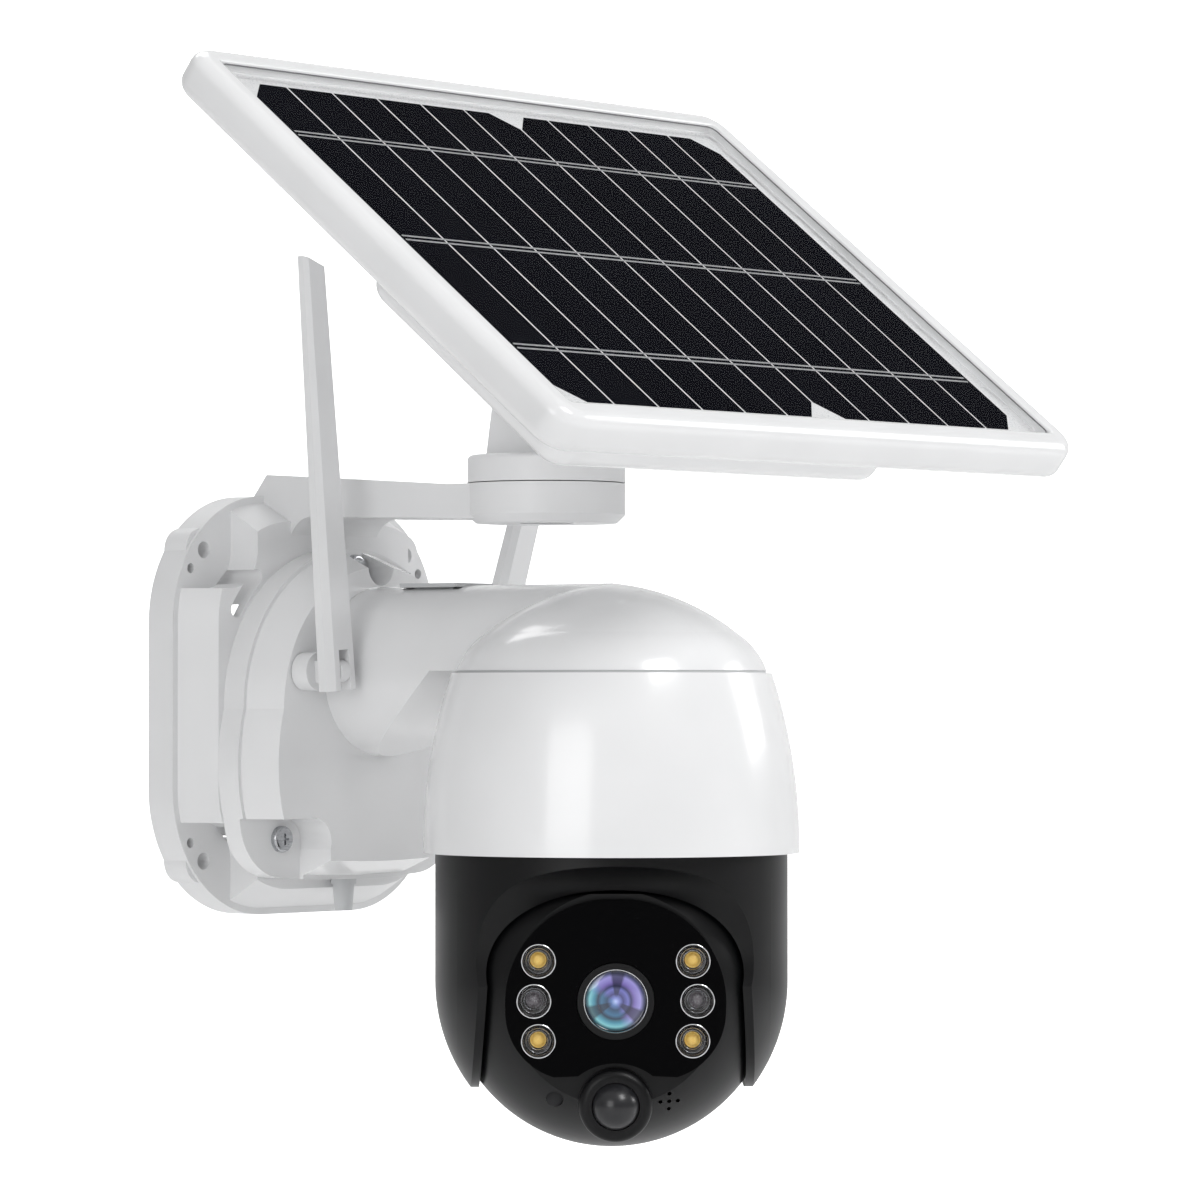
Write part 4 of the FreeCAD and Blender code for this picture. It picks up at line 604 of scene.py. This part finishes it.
@dataclass
class Surface:
    """Points and faces that become one mesh; grids are added one after another."""

    name: str
    points: list = field(default_factory=list)
    fours: list = field(default_factory=list)
    threes: list = field(default_factory=list)
    count: int = 0

    def grid(self, points: np.ndarray, wrap: bool = True, loop: bool = False) -> "Surface":
        """Add a grid of rings carried along a path, its two ends closed with a fan.

        The rows are rings; each ring's points run round the section. A fan joins an end ring to its mean point.

        Args:
            points: (rings, points round, 3) positions.
            wrap: the ring is closed.
            loop: the last ring meets the first, so there are no ends.

        Returns:
            This surface.
        """
        rings, around = points.shape[:2]
        self.points.append(points.reshape(-1, 3))
        self.fours.append(quads(rings, around, loop, wrap) + self.count)
        base = self.count
        self.count += rings * around
        if loop or not wrap:
            return self
        step = np.arange(around)
        for ring, flip in ((0, True), (rings - 1, False)):
            self.points.append(points[ring].mean(0)[None])
            first, second = base + ring * around + step, base + ring * around + (step + 1) % around
            hub = np.full(around, self.count)
            self.threes.append(np.stack((second, first, hub) if flip else (first, second, hub), 1))
            self.count += 1
        return self

    def build(self, finish: Finish, sharp: float = 35.0) -> bpy.types.Object:
        """Make the mesh object.

        Args:
            finish: what covers it.
            sharp: edges that turn by more degrees than this stay crisp.

        Returns:
            The object, at the origin.
        """
        points = np.concatenate(self.points)
        fours = np.concatenate(self.fours)
        threes = np.concatenate(self.threes) if self.threes else np.zeros((0, 3), int)
        mesh = bpy.data.meshes.new(self.name)
        mesh.vertices.add(len(points))
        mesh.vertices.foreach_set("co", points.astype(np.float32).ravel())
        loops = np.concatenate([fours.ravel(), threes.ravel()])
        mesh.loops.add(len(loops))
        mesh.loops.foreach_set("vertex_index", loops.astype(np.int32))
        starts = np.concatenate([np.arange(len(fours)) * 4, len(fours) * 4 + np.arange(len(threes)) * 3])
        mesh.polygons.add(len(starts))
        mesh.polygons.foreach_set("loop_start", starts.astype(np.int32))
        mesh.update(calc_edges=True)
        mesh.validate()
        made = bpy.data.objects.new(self.name, mesh)
        bpy.context.scene.collection.objects.link(made)
        mesh.materials.append(finish.material())
        mesh.shade_smooth()
        mesh.set_sharp_from_angle(angle=math.radians(sharp))
        return made


def turn(axis: str, degrees: float) -> np.ndarray:
    """Return the 3 by 3 matrix of a turn about a main axis."""
    return np.array(Matrix.Rotation(math.radians(degrees), 3, axis))


@dataclass(frozen=True)
class Place:
    """A local frame: a turn and an origin in the object's frame."""

    origin: tuple
    spin: np.ndarray

    def put(self, points: np.ndarray) -> np.ndarray:
        """Carry local points, in millimetres, into the object's frame, in metres."""
        return (points @ self.spin.T + np.array(self.origin)) * MM


PANEL_TILT = 38.0
HEAD_PAN = -48.7
BALL_TILT = 5.0
PANEL = Place((0.0, -142.3, 129.7), turn("X", PANEL_TILT))
FACE = Place((0.0, -129.1, -79.0), turn("Z", HEAD_PAN) @ turn("X", BALL_TILT) @ turn("X", 90.0))


def rounded_loop(half_x: float, half_y: float, radius: float, steps: int = 14, straight: int = 10) -> np.ndarray:
    """Points round a rectangle with rounded corners, anticlockwise.

    Each corner is a quarter circle about a centre set in by the radius, and the sides between are straight.

    Args:
        half_x: half the width.
        half_y: half the height.
        radius: corner radius.
        steps: points on each corner.
        straight: points between corners.

    Returns:
        (n, 2) positions.
    """
    radius = max(min(radius, half_x, half_y), 1e-4)
    centres = np.array([(1, 1), (-1, 1), (-1, -1), (1, -1)]) * (half_x - radius, half_y - radius)
    angles = np.radians(np.arange(4)[:, None] * 90 + np.linspace(0, 90, steps)[None])
    arcs = centres[:, None] + radius * np.stack([np.cos(angles), np.sin(angles)], 2)
    starts, ends = arcs[:, -1], np.roll(arcs, -1, 0)[:, 0]
    share = np.linspace(0, 1, straight + 2)[1:-1, None]
    sides = starts[:, None] * (1 - share)[None] + ends[:, None] * share[None]
    return np.concatenate([arcs, sides], 1).reshape(-1, 2)


def rounded_stack(half_x: float, half_y: float, radius: float, profile: list,
                  centre: tuple = (0.0, 0.0)) -> np.ndarray:
    """Carry a rounded rectangle along a profile of (inset, height) pairs.

    At each pair the rectangle shrinks by the inset on every side, its corner radius too, and lies at the height.

    Args:
        half_x: half the width with no inset.
        half_y: half the height with no inset.
        radius: corner radius with no inset.
        profile: (inset, height) pairs from bottom to top.
        centre: middle of the rectangle.

    Returns:
        (pairs, points, 3) positions.
    """
    rings = []
    for inset, height in profile:
        loop = rounded_loop(half_x - inset, half_y - inset, max(radius - inset, 0.4)) + np.array(centre)
        rings.append(np.column_stack([loop, np.full(len(loop), height)]))
    return np.stack(rings)


def quarter(radius: float, start: float, end: float, steps: int = 7) -> np.ndarray:
    """Points on an arc about the origin, as (cos, sin) pairs, from one angle in degrees to another."""
    angles = np.radians(np.linspace(start, end, steps))
    return radius * np.column_stack([np.cos(angles), np.sin(angles)])


def spun(profile: np.ndarray, around: int = 128) -> np.ndarray:
    """Spin (radius, height) pairs about the local z axis, anticlockwise seen from its tip."""
    angles = np.linspace(0, 2 * np.pi, around, endpoint=False)
    r, z = profile[:, 0][:, None], profile[:, 1][:, None]
    level = np.broadcast_to(z, (len(profile), around))
    return np.stack([r * np.cos(angles), r * np.sin(angles), level], 2)


def dress(name: str, finish: Finish) -> bpy.types.Object:
    """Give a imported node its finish.

    Args:
        name: the node.
        finish: what covers it.

    Returns:
        The node's object.
    """
    node = NODES[name]
    node.data.materials.clear()
    node.data.materials.append(finish.material())
    LOG.info("%s carries %s", name, finish.name)
    return node


def settle(piece: bpy.types.Object, body: Body, slot: str, *nodes: str) -> bpy.types.Object:
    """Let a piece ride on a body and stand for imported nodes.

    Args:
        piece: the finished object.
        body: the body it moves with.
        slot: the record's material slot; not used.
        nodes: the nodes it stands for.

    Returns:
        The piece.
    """
    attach(piece, body.value)
    if nodes:
        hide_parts(*nodes)
    LOG.info("%s rides on %s", piece.name, body.value)
    return piece


# ---- sub-assemblies ----


@dataclass
class SolarPanel:
    """Framed solar laminate with its battery box. Millimetres in the panel's own tilted frame."""

    width: float = 237.0
    height: float = 177.0
    corner: float = 9.0
    depth: float = 12.0
    rim: float = 0.8
    round: float = 4.0
    pane_width: float = 221.0
    pane_height: float = 161.0
    cell_pitch: float = 19.0
    cell_gap: float = 0.8
    cell_height: float = 151.7
    chamfer: float = 7.5
    strips: int = 11
    left_strips: int = 6
    cell_levels: tuple = (-2.99, -2.94)
    ribbon_level: float = -2.90
    ribbon_half: float = 0.36
    ribbon_gap: float = 0.95
    box_width: float = 150.0
    box_low: float = 61.0
    box_high: float = 27.0
    box_depth: float = 24.0
    box_corner: float = 8.0
    box_soft: float = 5.5

    def frame_piece(self) -> bpy.types.Object:
        """Build the moulded frame as one closed ring section carried round a rounded rectangle.

        The section goes over the rounded outer edge, across the rim, down the lip to the glass, and back under
        the floor, and each point sets the rectangle's inset.
        """
        top, r = self.rim, self.round
        over = [(r - c, top - r + s) for c, s in quarter(r, 0, 90, 10)]
        under = [(r - c, -self.depth + r + s) for c, s in quarter(r, -90, 0, 10)]
        lip = (self.width - self.pane_width) / 2 - 0.2
        inner = [(lip - 1.1, top), (lip - 0.5, top - 0.12), (lip - 0.12, top - 0.5), (lip, top - 1.1),
                 (lip, -0.2), (lip, -3.0), (lip + 3.0, -3.0), (lip + 3.0, -self.depth + 2.5)]
        ring = rounded_stack(self.width / 2, self.height / 2, self.corner, under + over + inner)
        made = Surface("panel_frame_moulding").grid(PANEL.put(ring))
        return settle(made.build(WHITE_GLOSS), Body.PANEL, "white_gloss", "solar_frame")

    def laminate(self) -> None:
        """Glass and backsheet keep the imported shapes, in their own finishes."""
        dress("solar_glass", PANE)
        dress("solar_backsheet", BACKSHEET)

    def strip_outline(self, number: int) -> np.ndarray:
        """Corners of one cell strip, anticlockwise, eight of them with the chamfers.

        The outer corners of each group of strips are cut off by the chamfer, and other corners by a hair.

        Args:
            number: which strip, from the left.

        Returns:
            (8, 2) positions.
        """
        left = (number - self.strips / 2) * self.cell_pitch + self.cell_gap / 2
        right, half = left + self.cell_pitch - self.cell_gap, self.cell_height / 2
        cut_l = self.chamfer if number in (0, self.left_strips) else 0.15
        cut_r = self.chamfer if number in (self.left_strips - 1, self.strips - 1) else 0.15
        return np.array([(left + cut_l, -half), (right - cut_r, -half), (right, -half + cut_r),
                         (right, half - cut_r), (right - cut_r, half), (left + cut_l, half),
                         (left, half - cut_l), (left, -half + cut_l)])

    def cells(self) -> bpy.types.Object:
        """Eleven thin strips: each outline is stood on two levels just under the glass."""
        made = Surface("cell_strips")
        for number in range(self.strips):
            loop = self.strip_outline(number)
            rings = [np.column_stack([loop, np.full(8, level)]) for level in self.cell_levels]
            made.grid(PANEL.put(np.stack(rings)))
        silicon = Silicon("silicon_cell", math.radians(PANEL_TILT), tuple(c * MM for c in PANEL.origin))
        return settle(made.build(silicon), Body.PANEL, "silicon", "solar_cells")

    def ribbons(self) -> bpy.types.Object:
        """Three double lines of flat ribbon that lie over the strips, each a thin bar with rounded ends."""
        made = Surface("ribbon_lines")
        half = self.cell_pitch * self.strips / 2 - 1.5
        profile = [(0.0, self.cell_levels[1]), (0.0, self.ribbon_level)]
        for share in (1 / 6, 1 / 2, 5 / 6):
            for side in (-1, 1):
                middle = (0.0, self.cell_height * (share - 0.5) + side * self.ribbon_gap)
                made.grid(PANEL.put(rounded_stack(half, self.ribbon_half, 0.3, profile, middle)))
        return settle(made.build(TINNED), Body.PANEL, "ribbon", "cell_ribbons")

    def gasket(self) -> bpy.types.Object:
        """Thin dark sealing bead between the lip and the glass: a low arc carried round the pane."""
        angles = np.linspace(0, math.pi, 7)
        arc = [(-0.10 + 0.22 * (1 - math.cos(a)), -0.35 + 0.4 * math.sin(a)) for a in angles]
        ring = rounded_stack(self.pane_width / 2 + 0.1, self.pane_height / 2 + 0.1, 3.0, arc)
        made = Surface("pane_seal_bead").grid(PANEL.put(ring), loop=True)
        return settle(made.build(SEAL), Body.PANEL, "rubber")

    def box_piece(self) -> bpy.types.Object:
        """Battery box: a rounded rectangle carried down a profile with a soft lower edge and a parting groove."""
        d, low, soft_radius = self.depth, -self.depth - self.box_depth, self.box_soft
        soft = [(soft_radius - c, low + soft_radius + s) for c, s in quarter(soft_radius, -90, 0, 10)]
        profile = [(20.0, low + 0.02), (12.0, low)] + soft
        profile += [(0.0, -d - 9.0), (0.0, -d - 4.2), (0.25, -d - 3.9), (0.55, -d - 3.7), (0.55, -d - 3.3),
                    (0.25, -d - 3.1), (0.0, -d - 2.8), (0.0, -d)]
        centre = (0.0, (self.box_high - self.box_low) / 2)
        half_y = (self.box_low + self.box_high) / 2
        ring = rounded_stack(self.box_width / 2, half_y, self.box_corner, profile, centre)
        made = Surface("battery_box_moulding").grid(PANEL.put(ring))
        return settle(made.build(WHITE_GLOSS), Body.PANEL, "white_gloss", "battery_box")

    def build(self) -> None:
        """Build and dress the whole panel."""
        self.frame_piece()
        self.laminate()
        self.cells()
        self.ribbons()
        self.gasket()
        self.box_piece()
        dress("tilt_bracket", WHITE_SATIN)
        dress("battery_cells", WRAP)
        dress("charge_board", CIRCUIT)
        dress("box_screws", STEEL)


@dataclass
class WallBracket:
    """Wall plate with its arm, and the swivel that carries the panel."""

    def build(self) -> None:
        """Dress the bracket, the swivel and their bolts."""
        dress("wall_bracket", WHITE_SATIN)
        dress("panel_swivel", WHITE_SATIN)
        for name in ("swivel_bolt", "swivel_nut", "tilt_bolt", "tilt_nut"):
            dress(name, STEEL)


@dataclass
class CameraBase:
    """Foot, arm, dome and what is inside them."""

    def build(self) -> None:
        """Dress the housing and its fittings."""
        for name in ("arm_housing", "dome_shell"):
            dress(name, WHITE_GLOSS)
        dress("base_lid", WHITE_SATIN)
        dress("card_cover", WHITE_RUBBER)
        dress("motor_plate", WHITE_SATIN)
        dress("dome_gasket", WHITE_RUBBER)
        dress("base_seal", RUBBER)
        dress("cable_gland", WHITE_RUBBER)
        for name in ("base_screws", "cap_screw", "pan_bearing", "pan_motor"):
            dress(name, STEEL)
        dress("main_board", CIRCUIT)
        dress("antenna_sockets", BRASS)
        dress("pan_pinion", BRASS)


@dataclass
class PanYoke:
    """The turning yoke and its drive."""

    def build(self) -> None:
        """Dress the yoke and its drive."""
        for name in ("yoke", "yoke_cover_left", "yoke_cover_right"):
            dress(name, BLACK_SATIN)
        for name in ("pan_spindle", "retaining_ring", "tilt_motor"):
            dress(name, STEEL)
        dress("pan_gear", ACETAL)
        dress("tilt_pinion", BRASS)


@dataclass
class CameraBall:
    """The tilting ball with its lens, lamps and sensors. Millimetres from the ball's centre, z out of the face."""

    front: float = 38.5
    lens_drop: float = 0.5
    glass: float = 8.7
    lamp_x: float = 21.7
    lamp_rise: float = 11.3
    infrared_x: float = 23.0
    cup: float = 4.85
    emitter: float = 1.95
    cap_inset: float = 0.34
    bezel: float = 10.75

    def spots(self) -> tuple:
        """Return the middles of the white lamps and of the infrared lamps."""
        sides = (-1, 1)
        white = [(sx * self.lamp_x, -self.lens_drop + sy * self.lamp_rise) for sx in sides for sy in sides]
        return white, [(sx * self.infrared_x, -self.lens_drop) for sx in sides]

    def turned_at(self, made: Surface, profile: list, middle: tuple, around: int = 64, loop: bool = False) -> None:
        """Add a turned ring or dome on the face.

        The profile of (radius, height) pairs is spun about the outward axis through the middle.

        Args:
            made: the surface it joins.
            profile: pairs from the back to the front.
            middle: where the axis meets the face.
            around: points round the turn.
            loop: the profile closes on itself.
        """
        points = spun(np.array(profile), around) + np.array([middle[0], middle[1], 0.0])
        made.grid(FACE.put(points), loop=loop)

    def rim_profiles(self) -> list:
        """Return the three bright rings of a lamp: a small chamfered bar at each step of the well."""
        f, r = self.front, self.cup
        steps = ((r, 0.28, f - 1.0, f + 0.12), (r * 0.74, 0.16, f - 2.2, f - 1.35), (r * 0.56, 0.14, f - 3.0, f - 2.25))
        return [[(outer - wide, low), (outer, low), (outer, high - 0.06), (outer - 0.08, high),
                 (outer - wide + 0.06, high), (outer - wide, high - 0.06)] for outer, wide, low, high in steps]

    def well_profile(self) -> list:
        """Return the dark well: a cup wall that steps down twice to a flat floor."""
        f, r = self.front, self.cup
        return [(0.01, f - 4.6), (r - 0.30, f - 4.6), (r - 0.30, f - 0.3), (r - 0.65, f - 0.5), (r * 0.75, f - 2.1),
                (r * 0.58, f - 2.3), (r * 0.57, f - 3.1), (r * 0.40, f - 3.4), (0.01, f - 3.4)]

    def emitter_profile(self) -> list:
        """Return the emitter: a short foot with a quarter of an ellipse over it."""
        f, r = self.front, self.emitter
        arc = [(r * math.cos(a), f - 3.3 + 1.7 * math.sin(a)) for a in np.linspace(0, math.pi / 2 - 0.02, 12)]
        return [(0.01, f - 3.6), (r + 0.3, f - 3.6), (r + 0.3, f - 3.0), (r, f - 2.9)] + arc[2:]

    def cap_profile(self) -> list:
        """Return the clear cap: a thin disc under a quarter of a flat ellipse."""
        f, r = self.front, self.cup - self.cap_inset
        arc = [(r * math.cos(a), f - 0.35 + 0.5 * math.sin(a)) for a in np.linspace(0, math.pi / 2 - 0.01, 10)]
        return [(0.01, f - 0.75), (r, f - 0.75)] + arc

    def lamps(self) -> None:
        """Six lamps: thin bright rims, dark stepped wells, domed emitters and clear caps over them."""
        white, infrared = self.spots()
        rims, wells, caps = Surface("lamp_rims"), Surface("lamp_wells"), Surface("lamp_caps")
        warm, cold = Surface("white_emitters"), Surface("infrared_emitters")
        for number, middle in enumerate(white + infrared):
            for profile in self.rim_profiles():
                self.turned_at(rims, profile, middle, around=72, loop=True)
            self.turned_at(wells, self.well_profile(), middle)
            self.turned_at(warm if number < len(white) else cold, self.emitter_profile(), middle)
            self.turned_at(caps, self.cap_profile(), middle)
        settle(rims.build(CHROME), Body.CAMERA, "chrome", "lamp_cups")
        settle(wells.build(WELL), Body.CAMERA, "chrome")
        settle(warm.build(PHOSPHOR), Body.CAMERA, "phosphor", "white_leds")
        settle(cold.build(CHIP), Body.CAMERA, "ir_resin", "infrared_leds")
        settle(caps.build(RESIN), Body.CAMERA, "clear_glass")

    def glass_profile(self) -> list:
        """Return the front element: a disc under a shallow cap of an ellipse."""
        f, g, edge = self.front, self.glass, math.pi / 2.2
        arc = [(g * math.sin(a), f - 0.9 + 1.35 * (math.cos(a) - math.cos(edge)))
               for a in np.linspace(edge, 0.004, 22)]
        return [(0.01, f - 1.6), (arc[0][0], f - 1.6)] + arc

    def lens(self) -> None:
        """Front element as a shallow cap, its thin rim, and a stepped dark bezel round it."""
        f, g, b = self.front, self.glass, self.bezel
        middle = (0.0, -self.lens_drop)
        glass, rim, bezel = Surface("front_element"), Surface("lens_rim"), Surface("lens_bezel")
        self.turned_at(glass, self.glass_profile(), middle, around=128)
        self.turned_at(rim, [(g + 0.02, f - 1.4), (g + 0.42, f - 1.4), (g + 0.42, f + 0.25), (g + 0.30, f + 0.38),
                             (g + 0.14, f + 0.36), (g + 0.02, f + 0.1)], middle, around=128, loop=True)
        self.turned_at(bezel, [(g + 0.45, f - 1.0), (b, f - 1.0), (b, f + 0.35), (b - 0.15, f + 0.55),
                               (b - 0.55, f + 0.58), (b - 0.85, f + 0.40), (b - 1.15, f + 0.05),
                               (g + 0.45, f - 0.1)], middle, around=128, loop=True)
        centre = tuple(FACE.put(np.array([middle[0], middle[1], f]))[:3])
        turned = tuple(Matrix(FACE.spin.tolist()).to_euler())
        # the front element's colour is the coating's tint with painted reflections and a painted glint
        coating_and_reflections = CoatedLensReflections("coated_lens_reflections", centre, turned, g * MM)
        settle(glass.build(coating_and_reflections), Body.CAMERA, "lens_glass", "lens_glass")
        settle(rim.build(CHROME), Body.CAMERA, "chrome", "lens_ring")
        settle(bezel.build(BLACK_SATIN), Body.CAMERA, "black_satin")

    def build(self) -> None:
        """Build the lens and lamps, and dress the rest."""
        for name in ("camera_front_shell", "camera_rear_shell", "lens_barrel", "speaker"):
            dress(name, BLACK_SATIN)
        dress("face_plate", BLACK_GLOSS)
        self.lamps()
        self.lens()
        dress("image_sensor_board", CIRCUIT)
        dress("led_board", CIRCUIT)
        dress("pir_lens", SMOKE)
        dress("pir_sensor", STEEL)
        dress("microphone", RUBBER)
        dress("tilt_pivots", STEEL)
        dress("tilt_gear", ACETAL)


@dataclass
class Antennas:
    """Two folding blade antennas."""

    def build(self) -> None:
        """Dress both collars and blades."""
        for side in ("left", "right"):
            dress(f"{side}_antenna_collar", WHITE_SATIN)
            dress(f"{side}_antenna_blade", WHITE_SATIN)


@dataclass
class Studio:
    """Pale floor and sweep, soft lights and the camera."""

    eye: tuple = (-1199.5, -1116.8, 3.05)
    azimuth: float = 50.41
    pitch: float = 1.01
    lens: float = 161.85
    floor_drop: float = 120.0
    flat_end: float = 1.6
    sweep: float = 1.2
    paper_glow: float = 0.8

    def floor(self) -> None:
        """A pale floor that curves up into a backdrop behind the object."""
        low = CAD_BOX[0][2] - self.floor_drop * MM
        bend = np.linspace(0.1, math.pi / 2, 14)
        run = np.concatenate([np.linspace(-3.0, self.flat_end, 12), self.flat_end + self.sweep * np.sin(bend),
                              np.full(6, self.flat_end + self.sweep)])
        rise = np.concatenate([np.zeros(12), self.sweep * (1 - np.cos(bend)), np.linspace(1.4, 4.2, 6)])
        side = np.linspace(-4.0, 4.0, 9)
        forward = np.array([math.sin(math.radians(self.azimuth)), math.cos(math.radians(self.azimuth))])
        right = np.array([forward[1], -forward[0]])
        flat = run[:, None, None] * forward + side[None, :, None] * right
        level = np.broadcast_to((rise + low)[:, None, None], (*flat.shape[:2], 1))
        points = np.concatenate([flat, level], 2)
        made = Surface("studio_floor").grid(points, wrap=False)
        sheet = made.build(PAPER, sharp=80.0)
        graph = Graph(sheet.data.materials[0].node_tree)
        paper = graph.tree.nodes["Principled BSDF"]
        paper.inputs["Emission Color"].default_value = (1.0, 1.0, 1.0, 1.0)
        seen = graph.add("LightPath").outputs["Is Camera Ray"]
        graph.join(graph.math("MULTIPLY", seen, self.paper_glow), paper.inputs["Emission Strength"])

    def lamp(self, name: str, place: tuple, size: float, watts: float, aim: tuple = (0.0, -0.1, 0.0)) -> None:
        """Add one soft area light.

        Args:
            name: its name.
            place: where it stands, in metres.
            size: side of its square.
            watts: its power.
            aim: the point it faces.
        """
        data = bpy.data.lights.new(name, "AREA")
        data.shape = "SQUARE"
        data.size = size
        data.energy = watts
        light = bpy.data.objects.new(name, data)
        bpy.context.scene.collection.objects.link(light)
        light.location = place
        light.rotation_euler = (Vector(aim) - Vector(place)).to_track_quat("-Z", "Y").to_euler()

    def view(self) -> None:
        """Put in the camera."""
        data = bpy.data.cameras.new("eye")
        data.lens = self.lens
        data.sensor_width = 36.0
        data.clip_end = 50.0
        eye = bpy.data.objects.new("eye", data)
        bpy.context.scene.collection.objects.link(eye)
        eye.location = Vector(self.eye) * MM
        eye.rotation_euler = (math.radians(90.0 + self.pitch), 0.0, math.radians(-self.azimuth))
        bpy.context.scene.camera = eye

    def sky(self) -> None:
        """An even pale surround."""
        world = bpy.data.worlds.new("surround")
        world.use_nodes = True
        graph = Graph(world.node_tree)
        back = world.node_tree.nodes["Background"]
        split = graph.add("SeparateXYZ")
        graph.join(graph.add("TexCoord").outputs["Generated"], split.inputs[0])
        height = graph.ramp(split.outputs["Z"], -0.3, 0.9)
        graph.join(graph.mix(height, (0.12, 0.12, 0.121), (0.96, 0.965, 0.97)), back.inputs["Color"])
        back.inputs["Strength"].default_value = 0.66
        bpy.context.scene.world = world

    def build(self) -> None:
        """Set up the whole studio."""
        self.floor()
        self.sky()
        self.lamp("key", (-0.2, -1.5, 1.3), size=0.7, watts=14.0)
        self.lamp("fill", (-1.6, -0.5, 0.3), size=0.8, watts=5.5)
        self.lamp("rim", (1.2, -0.9, 0.5), size=0.5, watts=5.0)
        self.lamp("paper", (0.9, 1.2, 1.9), size=1.4, watts=20.0, aim=(1.5, 1.3, -0.2))
        self.view()
        bpy.context.scene.view_settings.view_transform = "Standard"


def main() -> None:
    """Build every sub-assembly, then the studio."""
    logging.basicConfig(level=logging.INFO)
    for part in (WallBracket(), SolarPanel(), CameraBase(), PanYoke(), CameraBall(), Antennas(), Studio()):
        part.build()
        LOG.info("%s done", type(part).__name__)


if __name__ == "__main__":
    main()
